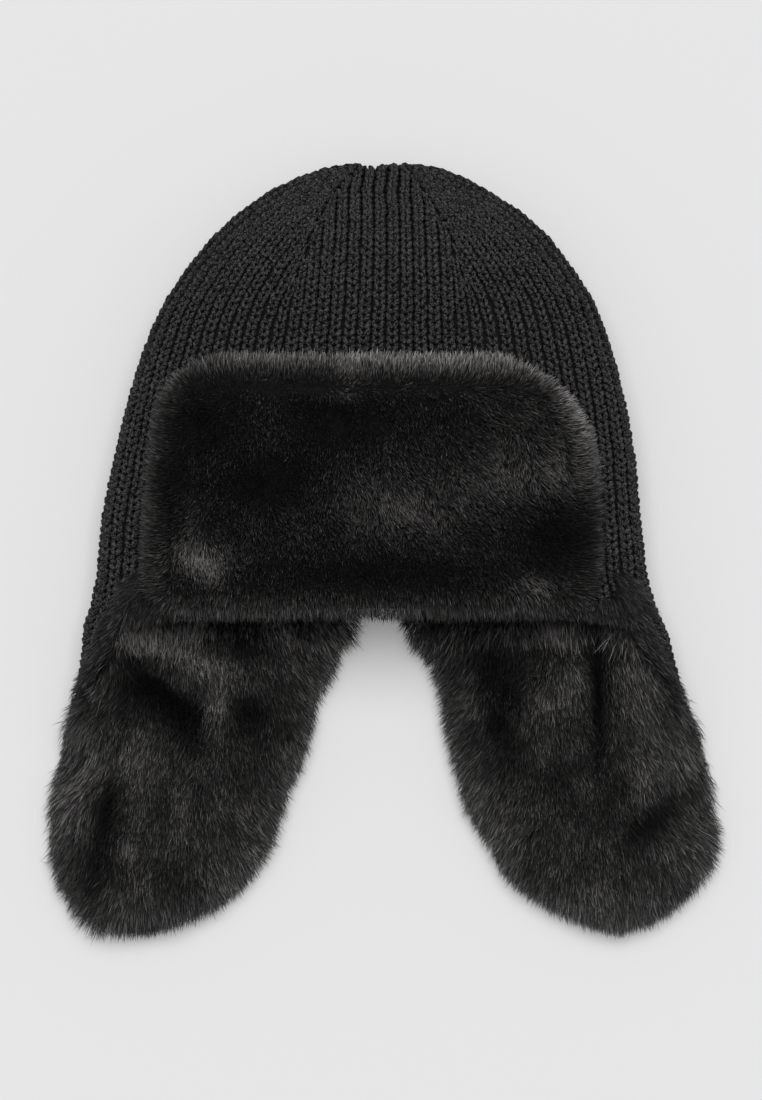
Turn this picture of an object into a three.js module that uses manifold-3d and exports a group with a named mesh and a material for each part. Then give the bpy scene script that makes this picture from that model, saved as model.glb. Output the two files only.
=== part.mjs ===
// A knitted aviator hat, lying on its back: a ribbed crown, a fur visor turned up over its
// front, and two ear flaps, knitted outside and lined with fur. Millimetres, +Z up from the
// table, +Y from the flaps towards the top of the crown.
import * as THREE from "three";
import { mergeVertices } from "three/addons/utils/BufferGeometryUtils.js";
import Module from "manifold-3d";

const wasm = await Module();
wasm.setup();

// Crown
const CROWN_WIDE = 245; // just above the hem, laid flat
const CROWN_LONG = 199; // from the gathered top to the hem
const CROWN_TALL = 54; // front to back where it is fullest
const TOP_Y = 106; // the gathered top, from the middle of the resting back
const WALL = 3.6; // knit at the crest of a rib
const SECTION_POWER = 2.4; // 2 is an ellipse, more is boxier
const PRESSED = 4; // how far the round back is pressed flat by the table
const NOTCH_DEEP = 3; // the dimple where the top is drawn together

// Ribs of the knit
const RIBS = 72; // all round, below the darts
const FRONT_RIBS = 13; // in the front panel, and in the back one
const RIB_DEEP = 1.8;
const DART_FOOT = 0.37; // share of the way down where the four darts begin
const RIB_CLOSER = 0.86; // spacing of the ribs at the top, as a share of the full one

// Ear flaps
const FLAP_LONG = 147; // from the hem to the tips of the fur
const FLAP_WALL = 3.4;
const FLAP_REACH = 152; // half the spread of the two flaps
const FLAP_FRONT_SHARE = 0.205; // the hem it is joined to, by shares of the way round from the front
const FLAP_NAPE_SHARE = 0.485;
const CURL_ENDS = 0.5; // share of the flap's length where its curled side lies flat
const FUR_OVERHANG = 9; // pile that stands out past the knit

// Fur
const SEAT = 0.3; // clearance between two pieces that are sewn together
const FUR_SEAT = 0.5; // clearance under fur that lies on knit
const BACKING = 1.5;
const PILE = 14;
const EAR_PILE = 12;
const PRESSED_PILE = 5; // where a crease presses it flattest
const LOCK_LONG = 18;
const LOCK_WIDE = 13;
const LOCK_THICK = 5;
const LOCK_REACH = 3.5; // how far the tips of the locks stand out past the body of the fur
const FUR_POWER = 3.2; // roundness of the edges of the fur
const VISOR_WIDE = 207;
const VISOR_LONG = 118;
const VISOR_BELOW = 5; // how far its fur hangs past the hem

const HEM_Y = TOP_Y - CROWN_LONG;

// Sections of the crown from the top down. halfWide is a share of CROWN_WIDE / 2, tall of
// CROWN_TALL, and lean of CROWN_WIDE, sideways.
const CROWN_ROWS = [
  { down: 0.002, halfWide: 0.085, tall: 0.24, lean: -0.004 },
  { down: 0.01, halfWide: 0.21, tall: 0.3, lean: 0.002 },
  { down: 0.028, halfWide: 0.295, tall: 0.38, lean: 0.001 },
  { down: 0.06, halfWide: 0.405, tall: 0.52, lean: -0.003 },
  { down: 0.11, halfWide: 0.522, tall: 0.7, lean: -0.001 },
  { down: 0.17, halfWide: 0.623, tall: 0.84, lean: -0.001 },
  { down: 0.24, halfWide: 0.709, tall: 0.94, lean: -0.002 },
  { down: 0.31, halfWide: 0.782, tall: 0.99, lean: -0.003 },
  { down: 0.37, halfWide: 0.826, tall: 1, lean: -0.005 },
  { down: 0.46, halfWide: 0.876, tall: 1, lean: -0.007 },
  { down: 0.56, halfWide: 0.918, tall: 0.97, lean: -0.009 },
  { down: 0.67, halfWide: 0.955, tall: 0.93, lean: -0.012 },
  { down: 0.8, halfWide: 0.986, tall: 0.88, lean: -0.018 },
  { down: 0.93, halfWide: 1.007, tall: 0.86, lean: -0.017 },
  { down: 1, halfWide: 1.035, tall: 0.86, lean: -0.014 },
];

// Outline of the two flaps, fur and all, seen from above. Each column is a share of
// FLAP_REACH from the middle line, and down is a share of FLAP_LONG from the hem.
const FLAP_ROWS = [
  { down: 0, leftOut: 0.857, leftIn: 0.03, rightIn: 0.02, rightOut: 0.812 },
  { down: 0.045, leftOut: 0.874, leftIn: 0.07, rightIn: 0.06, rightOut: 0.832 },
  { down: 0.09, leftOut: 0.88, leftIn: 0.108, rightIn: 0.096, rightOut: 0.85 },
  { down: 0.18, leftOut: 0.888, leftIn: 0.132, rightIn: 0.148, rightOut: 0.871 },
  { down: 0.27, leftOut: 0.903, leftIn: 0.18, rightIn: 0.181, rightOut: 0.892 },
  { down: 0.36, leftOut: 0.93, leftIn: 0.201, rightIn: 0.19, rightOut: 0.933 },
  { down: 0.45, leftOut: 0.948, leftIn: 0.225, rightIn: 0.213, rightOut: 0.957 },
  { down: 0.54, leftOut: 0.968, leftIn: 0.269, rightIn: 0.231, rightOut: 0.985 },
  { down: 0.63, leftOut: 0.986, leftIn: 0.293, rightIn: 0.258, rightOut: 0.97 },
  { down: 0.72, leftOut: 0.989, leftIn: 0.323, rightIn: 0.311, rightOut: 0.99 },
  { down: 0.81, leftOut: 0.976, leftIn: 0.367, rightIn: 0.352, rightOut: 0.975 },
  { down: 0.87, leftOut: 0.954, leftIn: 0.411, rightIn: 0.405, rightOut: 0.945 },
  { down: 0.92, leftOut: 0.915, leftIn: 0.465, rightIn: 0.471, rightOut: 0.902 },
  { down: 0.965, leftOut: 0.855, leftIn: 0.55, rightIn: 0.56, rightOut: 0.832 },
  { down: 1, leftOut: 0.76, leftIn: 0.665, rightIn: 0.652, rightOut: 0.742 },
];

// Dents and ridges of the fur. Across is a share of half the spread, to the right of the
// middle line, and down a share of the piece's length from its top. Long and wide are half
// sizes, as shares of that length, turn is in degrees, and rise is a share of the pile.
const VISOR_DENTS = [
  { across: -0.718, down: 0.342, long: 0.188, wide: 0.171, turn: 0, rise: -0.214 },
  { across: -0.193, down: 0.188, long: 0.137, wide: 0.077, turn: 0, rise: -0.179 },
  { across: 0.886, down: 0.607, long: 0.154, wide: 0.085, turn: 90, rise: -0.214 },
  { across: -0.777, down: 0.692, long: 0.103, wide: 0.077, turn: 0, rise: 0.143 },
  { across: 0.094, down: 0.504, long: 0.154, wide: 0.085, turn: -20, rise: 0.107 },
  { across: 0.015, down: 0.897, long: 0.77, wide: 0.051, turn: 0, rise: 0.107 },
];
const LEFT_DENTS = [
  { across: -0.671, down: 0.211, long: 0.184, wide: 0.034, turn: -26, rise: -0.5 },
  { across: -0.579, down: 0.129, long: 0.204, wide: 0.041, turn: -26, rise: 0.25 },
  { across: -0.612, down: 0.313, long: 0.088, wide: 0.068, turn: -30, rise: -0.25 },
  { across: -0.375, down: 0.408, long: 0.163, wide: 0.048, turn: 80, rise: -0.33 },
  { across: -0.48, down: 0.388, long: 0.122, wide: 0.034, turn: 80, rise: 0.17 },
  { across: -0.822, down: 0.592, long: 0.177, wide: 0.027, turn: 75, rise: -0.25 },
];
const RIGHT_DENTS = [
  { across: 0.651, down: 0.272, long: 0.17, wide: 0.034, turn: 90, rise: -0.5 },
  { across: 0.368, down: 0.218, long: 0.136, wide: 0.041, turn: -30, rise: -0.42 },
  { across: 0.322, down: 0.422, long: 0.088, wide: 0.048, turn: 80, rise: -0.29 },
  { across: 0.868, down: 0.558, long: 0.095, wide: 0.034, turn: 45, rise: -0.29 },
  { across: 0.513, down: 0.306, long: 0.109, wide: 0.061, turn: 60, rise: 0.17 },
];

const INNER_ROWS = [0.06, 0.1, 0.16, 0.23, 0.31, 0.4, 0.52, 0.64, 0.76, 0.88, 1];
const INNER_COLUMNS = 36;
const SECTION_STEPS = 160;
const FINEST = 0.3; // slivers finer than this, where locks meet, are smoothed away

function mix(a, b, share) {
  return a + (b - a) * share;
}

function clamp01(value) {
  return Math.min(1, Math.max(0, value));
}

function smooth(from, to, value) {
  const share = clamp01((value - from) / (to - from));
  return share * share * (3 - 2 * share);
}

// A column of a table at a share of the way down it.
function read(rows, down, column) {
  let i = 0;
  while (i < rows.length - 2 && rows[i + 1].down < down) {
    i += 1;
  }
  const share = (down - rows[i].down) / (rows[i + 1].down - rows[i].down);
  return mix(rows[i][column], rows[i + 1][column], clamp01(share));
}

// One half of the crown's section at a share of the way down, from its front to its back,
// moved in by `inset`, with the distance gone along it.
function crownSection(down, inset) {
  const halfWide = (read(CROWN_ROWS, down, "halfWide") * CROWN_WIDE) / 2;
  const tall = read(CROWN_ROWS, down, "tall") * CROWN_TALL;
  const lean = read(CROWN_ROWS, down, "lean") * CROWN_WIDE;
  const halfTall = (tall + PRESSED * Math.min(1, tall / 20)) / 2;
  const floor = inset;
  const points = [];
  let gone = 0;
  for (let i = 0; i <= SECTION_STEPS; i += 1) {
    const angle = (Math.PI * i) / SECTION_STEPS;
    const sine = Math.sin(angle);
    const cosine = Math.cos(angle);
    const across = sine ** (2 / SECTION_POWER) * halfWide;
    const up = Math.sign(cosine) * Math.abs(cosine) ** (2 / SECTION_POWER) * halfTall;
    let normalX = (across / halfWide) ** (SECTION_POWER - 1) / halfWide;
    let normalZ = Math.sign(up) * Math.abs(up / halfTall) ** (SECTION_POWER - 1) / halfTall;
    const size = Math.hypot(normalX, normalZ);
    normalX /= size;
    normalZ /= size;
    const point = {
      x: across - normalX * inset,
      z: tall - halfTall + up - normalZ * inset,
      normalX,
      normalZ,
    };
    if (i > 0) {
      const last = points[i - 1];
      gone += Math.hypot(point.x - last.x, Math.max(point.z, floor) - Math.max(last.z, floor));
    }
    point.gone = gone;
    points.push(point);
  }
  return { points, length: gone * 2, lean, floor, y: TOP_Y - down * CROWN_LONG, down };
}

// A point of a section, `gone` along it from the front, negative to the left, and sunk in.
function onSection(section, gone, sunk) {
  const way = Math.min(Math.abs(gone), section.length / 2);
  const points = section.points;
  let i = 0;
  while (i < points.length - 2 && points[i + 1].gone < way) {
    i += 1;
  }
  const share = clamp01((way - points[i].gone) / (points[i + 1].gone - points[i].gone));
  const normalX = mix(points[i].normalX, points[i + 1].normalX, share);
  const normalZ = mix(points[i].normalZ, points[i + 1].normalZ, share);
  const x = mix(points[i].x, points[i + 1].x, share) - normalX * sunk;
  const z = mix(points[i].z, points[i + 1].z, share) - normalZ * sunk;
  const side = gone < 0 ? -1 : 1;
  return [section.lean + side * x, section.y, Math.max(z, section.floor)];
}

// A mesh grows from points and triangles, and is closed into one solid body.
function newMesh() {
  return { points: [], faces: [] };
}

function addPoint(mesh, point) {
  mesh.points.push(point);
  return mesh.points.length - 1;
}

// Triangles between two rows of point numbers, matched by their shares of the way along.
function zip(mesh, upper, upperShares, lower, lowerShares) {
  let i = 0;
  let j = 0;
  while (i < upper.length - 1 || j < lower.length - 1) {
    const nextUpper = i < upper.length - 1 ? upperShares[i + 1] : Infinity;
    const nextLower = j < lower.length - 1 ? lowerShares[j + 1] : Infinity;
    if (nextUpper <= nextLower) {
      mesh.faces.push([upper[i], lower[j], upper[i + 1]]);
      i += 1;
    } else {
      mesh.faces.push([upper[i], lower[j], lower[j + 1]]);
      j += 1;
    }
  }
}

function fan(mesh, centre, ring) {
  for (let i = 0; i < ring.length; i += 1) {
    mesh.faces.push([centre, ring[i], ring[(i + 1) % ring.length]]);
  }
}

function volumeOf(mesh) {
  let total = 0;
  for (const [a, b, c] of mesh.faces) {
    const [p, q, r] = [mesh.points[a], mesh.points[b], mesh.points[c]];
    total += p[0] * (q[1] * r[2] - q[2] * r[1]);
    total += p[1] * (q[2] * r[0] - q[0] * r[2]);
    total += p[2] * (q[0] * r[1] - q[1] * r[0]);
  }
  return total / 6;
}

function geometryOf(mesh) {
  const turned = volumeOf(mesh) < 0;
  const geometry = new THREE.BufferGeometry();
  const index = mesh.faces.flatMap(([a, b, c]) => (turned ? [a, c, b] : [a, b, c]));
  geometry.setAttribute("position", new THREE.Float32BufferAttribute(mesh.points.flat(), 3));
  geometry.setIndex(index);
  geometry.computeVertexNormals();
  return geometry;
}

function solidOf(source) {
  const bare = geometryOf(source);
  bare.deleteAttribute("normal");
  const geometry = mergeVertices(bare);
  return new wasm.Manifold(
    new wasm.Mesh({
      numProp: 3,
      vertProperties: new Float32Array(geometry.attributes.position.array),
      triVerts: new Uint32Array(geometry.index.array),
    }),
  );
}

function geometryOfSolid(solid) {
  const found = solid.getMesh();
  const geometry = new THREE.BufferGeometry();
  const places = new Float32Array(found.numVert * 3);
  for (let i = 0; i < found.numVert; i += 1) {
    for (let k = 0; k < 3; k += 1) {
      places[i * 3 + k] = found.vertProperties[i * found.numProp + k];
    }
  }
  geometry.setAttribute("position", new THREE.BufferAttribute(places, 3));
  geometry.setIndex(Array.from(found.triVerts));
  geometry.computeVertexNormals();
  return geometry;
}

// Columns of the crown's outer face, panel by panel. Each half panel runs from its middle
// rib to a dart. Columns lie on crests and valleys, and thin out on the pressed back.
const SIDE_RIBS = RIBS / 2 - FRONT_RIBS;
const PANELS = [
  { middle: 0, ribs: FRONT_RIBS, fineBefore: 99, fineAfter: 99 },
  { middle: 0.25, ribs: SIDE_RIBS, fineBefore: 99, fineAfter: 12 },
  { middle: 0.5, ribs: FRONT_RIBS, fineBefore: 0, fineAfter: 0 },
  { middle: 0.75, ribs: SIDE_RIBS, fineBefore: 12, fineAfter: 99 },
];

function ribPitch(section) {
  const atFoot = crownSection(DART_FOOT, 0).length / RIBS;
  const closer = atFoot * mix(RIB_CLOSER, 1, section.down / DART_FOOT);
  return section.down < DART_FOOT ? closer : section.length / RIBS;
}

// The columns of one section: their names, so that rows can be matched, and their places.
function columnsOf(section) {
  const pitch = ribPitch(section);
  const columns = [];
  PANELS.forEach((panel, number) => {
    const reach = (section.length * panel.ribs) / RIBS / 2;
    for (const half of [-1, 1]) {
      const fine = half < 0 ? panel.fineBefore : panel.fineAfter;
      const own = [];
      for (let step = half < 0 ? 1 : 0; step <= panel.ribs; step += 1) {
        const coarse = step > fine && (step - fine) % 4 !== 0;
        const off = (step * pitch) / 2;
        if (!coarse && off < reach - pitch * 0.3) {
          const gone = panel.middle * section.length + half * off;
          own.push({ name: `${number},${half * step}`, gone, off });
        }
      }
      if (half < 0) {
        own.reverse();
      }
      columns.push(...own);
    }
    columns.push({
      name: `dart ${number}`,
      gone: panel.middle * section.length + reach,
      off: reach,
    });
  });
  return columns.map((column) => ({
    ...column,
    sunk: (RIB_DEEP / 2) * (1 - Math.cos((2 * Math.PI * column.off) / pitch)),
  }));
}

// The outer row of points of a section, each with its column's name.
function crownRow(mesh, section) {
  return columnsOf(section).map((column) => {
    const gone = column.gone > section.length / 2 ? column.gone - section.length : column.gone;
    return { ...column, point: addPoint(mesh, onSection(section, gone, column.sunk)) };
  });
}

// Between two rows, columns of one name are joined, and one that ends goes into its dart.
function joinCrownRows(mesh, upper, lower) {
  const above = new Map(upper.map((column) => [column.name, column.point]));
  const shared = lower.flatMap((column, place) => (above.has(column.name) ? [place] : []));
  for (let i = 0; i < shared.length; i += 1) {
    const from = shared[i];
    const to = i < shared.length - 1 ? shared[i + 1] : shared[0] + lower.length;
    const run = [];
    for (let k = from; k <= to; k += 1) {
      run.push(lower[k % lower.length].point);
    }
    const first = above.get(lower[from].name);
    const second = above.get(lower[to % lower.length].name);
    const fromDart = lower[from].name.startsWith("dart");
    const corner = fromDart ? first : second;
    if (!fromDart) {
      mesh.faces.push([first, run[0], second]);
    }
    for (let k = 0; k < run.length - 1; k += 1) {
      mesh.faces.push([corner, run[k], run[k + 1]]);
    }
    if (fromDart) {
      mesh.faces.push([first, run[run.length - 1], second]);
    }
  }
}

function makeCrown() {
  const mesh = newMesh();
  const rows = CROWN_ROWS.map((row) => crownRow(mesh, crownSection(row.down, 0)));
  for (let i = 0; i < rows.length - 1; i += 1) {
    joinCrownRows(mesh, rows[i], rows[i + 1]);
  }
  const topSection = crownSection(CROWN_ROWS[0].down, 0);
  const topZ = (CROWN_ROWS[0].tall * CROWN_TALL) / 2;
  const top = addPoint(mesh, [topSection.lean, TOP_Y - NOTCH_DEEP, topZ]);
  const topRing = rows[0].map((column) => column.point);
  for (let i = 0; i < topRing.length; i += 1) {
    mesh.faces.push([top, topRing[i], topRing[(i + 1) % topRing.length]]);
  }

  const inner = INNER_ROWS.map((down) => {
    const section = crownSection(down, WALL);
    const ring = [];
    for (let i = 0; i < INNER_COLUMNS; i += 1) {
      const share = i / INNER_COLUMNS;
      const gone = (share > 0.5 ? share - 1 : share) * section.length;
      ring.push(addPoint(mesh, onSection(section, gone, 0)));
    }
    return ring;
  });
  for (let i = 0; i < inner.length - 1; i += 1) {
    for (let k = 0; k < INNER_COLUMNS; k += 1) {
      const next = (k + 1) % INNER_COLUMNS;
      mesh.faces.push([inner[i][k], inner[i][next], inner[i + 1][k]]);
      mesh.faces.push([inner[i][next], inner[i + 1][next], inner[i + 1][k]]);
    }
  }
  const innerTop = crownSection(INNER_ROWS[0], WALL);
  const innerZ = (read(CROWN_ROWS, INNER_ROWS[0], "tall") * CROWN_TALL) / 2;
  const cap = addPoint(mesh, [innerTop.lean, innerTop.y + 1.5, innerZ]);
  fan(mesh, cap, [...inner[0]].reverse());

  const hemOuter = rows[rows.length - 1];
  const hemLength = crownSection(1, 0).length;
  const start = hemOuter.findIndex((column) => column.gone >= -1e-6 && column.name === "0,0");
  const ordered = [...hemOuter.slice(start), ...hemOuter.slice(0, start)];
  const outerShares = ordered.map((column) => (((column.gone / hemLength) % 1) + 1) % 1);
  const innerRing = inner[inner.length - 1];
  const innerShares = innerRing.map((point, i) => i / INNER_COLUMNS);
  zip(
    mesh,
    [...ordered.map((column) => column.point), ordered[0].point],
    [...outerShares, 1],
    [...innerRing, innerRing[0]],
    [...innerShares, 1],
  );
  return geometryOf(mesh);
}

// The crown's front face, also read a little past the hem.
function crownFront(x, y) {
  const down = clamp01((TOP_Y - y) / CROWN_LONG);
  const halfWide = (read(CROWN_ROWS, down, "halfWide") * CROWN_WIDE) / 2;
  const tall = read(CROWN_ROWS, down, "tall") * CROWN_TALL;
  const lean = read(CROWN_ROWS, down, "lean") * CROWN_WIDE;
  const halfTall = (tall + PRESSED * Math.min(1, tall / 20)) / 2;
  const off = Math.min(0.995, Math.abs((x - lean) / halfWide));
  return tall - halfTall + halfTall * (1 - off ** SECTION_POWER) ** (1 / SECTION_POWER);
}

// How far the dents of a piece lift its pile at (x, y). The field says where the piece lies.
function dentRise(dents, field, x, y) {
  let rise = 0;
  for (const dent of dents) {
    const turn = (dent.turn * Math.PI) / 180;
    const offX = x - field.middleX - dent.across * field.halfWide;
    const offY = y - field.topY + dent.down * field.long;
    const along = (offX * Math.cos(turn) + offY * Math.sin(turn)) / (dent.long * field.long);
    const across = (offY * Math.cos(turn) - offX * Math.sin(turn)) / (dent.wide * field.long);
    rise += dent.rise * field.pile * Math.exp(-(along ** 2) - across ** 2);
  }
  return rise;
}

// A closed body lofted through rings of equal length, with its ends fanned shut.
function loft(rings) {
  const mesh = newMesh();
  const rows = rings.map((ring) => ring.map((point) => addPoint(mesh, point)));
  for (let i = 0; i < rows.length - 1; i += 1) {
    for (let k = 0; k < rows[i].length; k += 1) {
      const next = (k + 1) % rows[i].length;
      mesh.faces.push([rows[i][k], rows[i + 1][k], rows[i][next]]);
      mesh.faces.push([rows[i][next], rows[i + 1][k], rows[i + 1][next]]);
    }
  }
  for (const [ring, row, flip] of [
    [rings[0], rows[0], false],
    [rings[rings.length - 1], rows[rows.length - 1], true],
  ]) {
    const middle = [0, 1, 2].map((k) => ring.reduce((sum, point) => sum + point[k], 0) / ring.length);
    const centre = addPoint(mesh, middle);
    fan(mesh, centre, flip ? [...row].reverse() : row);
  }
  return mesh;
}

// A lock of fur: a flat tapered wedge that leaves its root along a way, between two others.
function lock(root, along, across, up, size) {
  const place = (forward, sideways, rise) =>
    new THREE.Vector3(...root)
      .addScaledVector(along, forward * LOCK_LONG * size)
      .addScaledVector(across, sideways * LOCK_WIDE * size)
      .addScaledVector(up, rise * LOCK_THICK * size)
      .toArray();
  const ring = (forward, wide, thick, lift) => [
    place(forward, -wide / 2, lift),
    place(forward, 0, lift - thick / 2),
    place(forward, wide / 2, lift),
    place(forward, 0, lift + thick / 2),
  ];
  const mesh = newMesh();
  const rows = [ring(0, 0.6, 0.7, 0), ring(0.66, 1, 1, 0.1)].map((points) =>
    points.map((point) => addPoint(mesh, point)),
  );
  const tip = addPoint(mesh, place(1, 0, -0.3));
  mesh.faces.push([rows[0][0], rows[0][2], rows[0][1]], [rows[0][0], rows[0][3], rows[0][2]]);
  for (let k = 0; k < 4; k += 1) {
    const next = (k + 1) % 4;
    mesh.faces.push([rows[0][k], rows[0][next], rows[1][k]]);
    mesh.faces.push([rows[0][next], rows[1][next], rows[1][k]]);
    mesh.faces.push([rows[1][k], rows[1][next], tip]);
  }
  return solidOf(mesh);
}

// A lock that grows from a surface of fur and lies along it, with its way given in the
// surface's own directions, sideways and down.
function lockOn(place, down, across, waySide, wayDown, size, height) {
  const at = (d, a) => new THREE.Vector3(...place(d, a, 0));
  const sideways = at(down, across + 0.02).sub(at(down, across - 0.02)).normalize();
  const downward = at(down + 0.01, across).sub(at(down - 0.01, across)).normalize();
  const along = sideways.clone().multiplyScalar(waySide).addScaledVector(downward, wayDown);
  along.normalize();
  const up = new THREE.Vector3().crossVectors(sideways, downward).normalize();
  if (up.z < 0) {
    up.negate();
  }
  const edge = new THREE.Vector3().crossVectors(up, along).normalize();
  return lock(place(down, across, height), along, edge, up, size);
}

function fuse(body, locks) {
  let whole = body;
  for (const one of locks) {
    whole = whole.add(one);
  }
  return whole.simplify(FINEST);
}

// Fur visor: its outline is a rectangle with round upper corners and softer lower ones.
// Left and right are shares of half its width, from VISOR_X outwards.
const VISOR_X = -3.5;
const VISOR_TOP = HEM_Y - VISOR_BELOW + VISOR_LONG;
const VISOR_FIELD = {
  middleX: VISOR_X,
  halfWide: VISOR_WIDE / 2,
  topY: VISOR_TOP,
  long: VISOR_LONG,
  pile: PILE,
};
const VISOR_ROWS = [
  { down: 0, left: 0.7, right: 0.6, thick: 0.3 },
  { down: 0.03, left: 0.8, right: 0.66, thick: 0.62 },
  { down: 0.08, left: 0.88, right: 0.755, thick: 0.82 },
  { down: 0.16, left: 0.937, right: 0.86, thick: 0.95 },
  { down: 0.29, left: 0.97, right: 0.955, thick: 1 },
  { down: 0.44, left: 0.99, right: 0.99, thick: 1 },
  { down: 0.6, left: 1.005, right: 1, thick: 1 },
  { down: 0.74, left: 1.015, right: 1, thick: 1 },
  { down: 0.84, left: 1.02, right: 0.995, thick: 0.98 },
  { down: 0.92, left: 1.01, right: 0.975, thick: 0.88 },
  { down: 0.97, left: 0.96, right: 0.93, thick: 0.66 },
  { down: 1, left: 0.87, right: 0.85, thick: 0.34 },
];
const VISOR_TOP_COLUMNS = 16;
const VISOR_UNDER_COLUMNS = 13;

function visorHalf(down, side) {
  const share = read(VISOR_ROWS, down, side < 0 ? "left" : "right");
  return share * (VISOR_WIDE / 2 - LOCK_REACH);
}

function visorPoint(down, across, rise) {
  const y = VISOR_TOP - LOCK_REACH - down * (VISOR_LONG - 2 * LOCK_REACH);
  const x = VISOR_X + across * visorHalf(down, across);
  return [x, y, crownFront(x, y) + FUR_SEAT + rise];
}

function visorThickness(down, across) {
  const round = (1 - Math.min(1, Math.abs(across)) ** FUR_POWER) ** (1 / FUR_POWER);
  const [x, y] = visorPoint(down, across, 0);
  const pile = PILE + dentRise(VISOR_DENTS, VISOR_FIELD, x, y);
  const full = pile * read(VISOR_ROWS, down, "thick");
  return BACKING + Math.max(0.5, full * round);
}

function makeFrontFlap() {
  const rings = VISOR_ROWS.map(({ down }) => {
    const ring = [];
    for (let i = 0; i <= VISOR_TOP_COLUMNS; i += 1) {
      const across = -Math.cos((Math.PI * i) / VISOR_TOP_COLUMNS);
      const spread = Math.sign(across) * Math.abs(across) ** (2 / FUR_POWER);
      ring.push(visorPoint(down, spread, visorThickness(down, spread)));
    }
    for (let i = 0; i <= VISOR_UNDER_COLUMNS; i += 1) {
      ring.push(visorPoint(down, 0.97 - (1.94 * i) / VISOR_UNDER_COLUMNS, 0));
    }
    return ring;
  });
  const place = (down, across, height) => {
    const rise = Math.max(BACKING + 2.5, visorThickness(down, across) * height);
    return visorPoint(down, across, rise);
  };
  // Fringe round the edges, each lock in from the edge by most of its own length.
  const locks = [];
  const long = VISOR_LONG - 2 * LOCK_REACH;
  const inset = LOCK_LONG - LOCK_REACH;
  for (let i = 0; i < 17; i += 1) {
    const across = (((i + 0.5) / 17) * 2 - 1) * 0.84;
    const size = 1 + 0.08 * Math.sin(i * 5.3);
    locks.push(lockOn(place, inset / long, across * 0.95, across * 0.35, -1, size, 0.62));
    locks.push(lockOn(place, 1 - inset / long, across, across * 0.3, 1, size, 0.6));
  }
  for (let i = 0; i < 9; i += 1) {
    const down = 0.16 + (0.7 * i) / 8;
    for (const side of [-1, 1]) {
      const halfWide = visorHalf(down, side);
      const across = (halfWide - inset) / halfWide;
      const size = 1 + 0.08 * Math.sin(i * 3.7 + side);
      locks.push(lockOn(place, down, side * across, side, (down - 0.5) * 1.1, size, 0.6));
    }
  }
  // Longer locks that lie over the pile.
  for (let row = 0; row < 3; row += 1) {
    for (let i = 0; i < 6; i += 1) {
      const down = 0.29 + 0.2 * row + 0.03 * Math.sin(i * 2.1 + row);
      const across = ((i + (row % 2 ? 0.8 : 0.4)) / 6.2) * 1.5 - 0.75;
      locks.push(lockOn(place, down, across, across * 0.9, down - 0.55, 1.2, 0.95));
    }
  }
  return geometryOfSolid(fuse(solidOf(loft(rings)), locks));
}

// The hem that a flap is joined to, from the nape (0) to the front of the ear (1).
const hemSection = crownSection(1, 0);
function hemPath(side, along) {
  const around = mix(FLAP_NAPE_SHARE, FLAP_FRONT_SHARE, along);
  const [x, , z] = onSection(hemSection, side * around * hemSection.length, 0);
  return { x, z };
}

function flapEdge(side, down, which) {
  const name = (side < 0 ? "left" : "right") + which;
  return side * read(FLAP_ROWS, down, name) * FLAP_REACH;
}

// The outer face of a flap's knit, `down` from the hem and `along` from its inner edge to
// its outer one. It leaves the hem in the curl of the crown's side and opens out flat.
function flapPlace(side, down, along) {
  const open = smooth(0, CURL_ENDS, down);
  const inner = flapEdge(side, down, "In");
  const outer = flapEdge(side, down, "Out");
  const bent = (share) => {
    const hem = hemPath(side, clamp01(share));
    const past = share - clamp01(share);
    const flat = mix(inner, outer, share);
    return {
      x: mix(hem.x + past * (outer - inner), flat, open),
      z: hem.z * (1 - open),
    };
  };
  let widest = 0;
  for (let i = 0; i <= 20; i += 1) {
    widest = Math.max(widest, side * bent(i / 20).x);
  }
  const found = bent(along);
  const first = bent(0).x;
  const stretch = down > 0 ? (outer - inner) / (side * widest - first) : 1;
  const start = down > 0 ? inner : first;
  return {
    x: start + (found.x - first) * stretch,
    y: HEM_Y - SEAT - down * FLAP_LONG,
    z: found.z,
  };
}

// The same face with its normal towards the fur.
function flapFace(side, down, along, rise) {
  const here = flapPlace(side, down, along);
  const before = flapPlace(side, down, along - 0.02);
  const after = flapPlace(side, down, along + 0.02);
  const x = after.x - before.x;
  const z = after.z - before.z;
  const move = (side * rise) / Math.hypot(x, z);
  return [here.x - z * move, here.y, here.z + x * move];
}

// Rows shared by the knit and the fur of an ear flap, as shares of FLAP_LONG from the hem.
const KNIT_LONG = FLAP_LONG - FUR_OVERHANG;
const KNIT_END = KNIT_LONG / FLAP_LONG;
const FLAP_STEPS = [0, 0.035, 0.08, 0.14, 0.2, 0.27, 0.35, 0.43, 0.52, 0.62, 0.72, 0.81, 0.88, KNIT_END];
const KNIT_COLUMNS = 8;

// Where the knit and the fur begin and end across a flap, as shares of its outline.
function flapSpan(side, down) {
  const own = Math.min(1, down / KNIT_END);
  const inner = Math.abs(flapEdge(side, down, "In"));
  const wide = Math.abs(flapEdge(side, down, "Out")) - inner;
  const middle = Math.abs(flapEdge(side, own, "In") + flapEdge(side, own, "Out")) / 2;
  const half = Math.abs(flapEdge(side, own, "Out")) - middle;
  const knitHalf = (half * half) / (half + FUR_OVERHANG);
  const bare = 1 - smooth(0.25, CURL_ENDS, down);
  return {
    from: (middle - knitHalf - inner) / wide,
    to: mix((middle + knitHalf - inner) / wide, 1, bare),
    furFrom: LOCK_REACH / wide,
    furTo: 1 - mix(LOCK_REACH, 2, bare) / wide,
  };
}

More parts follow.
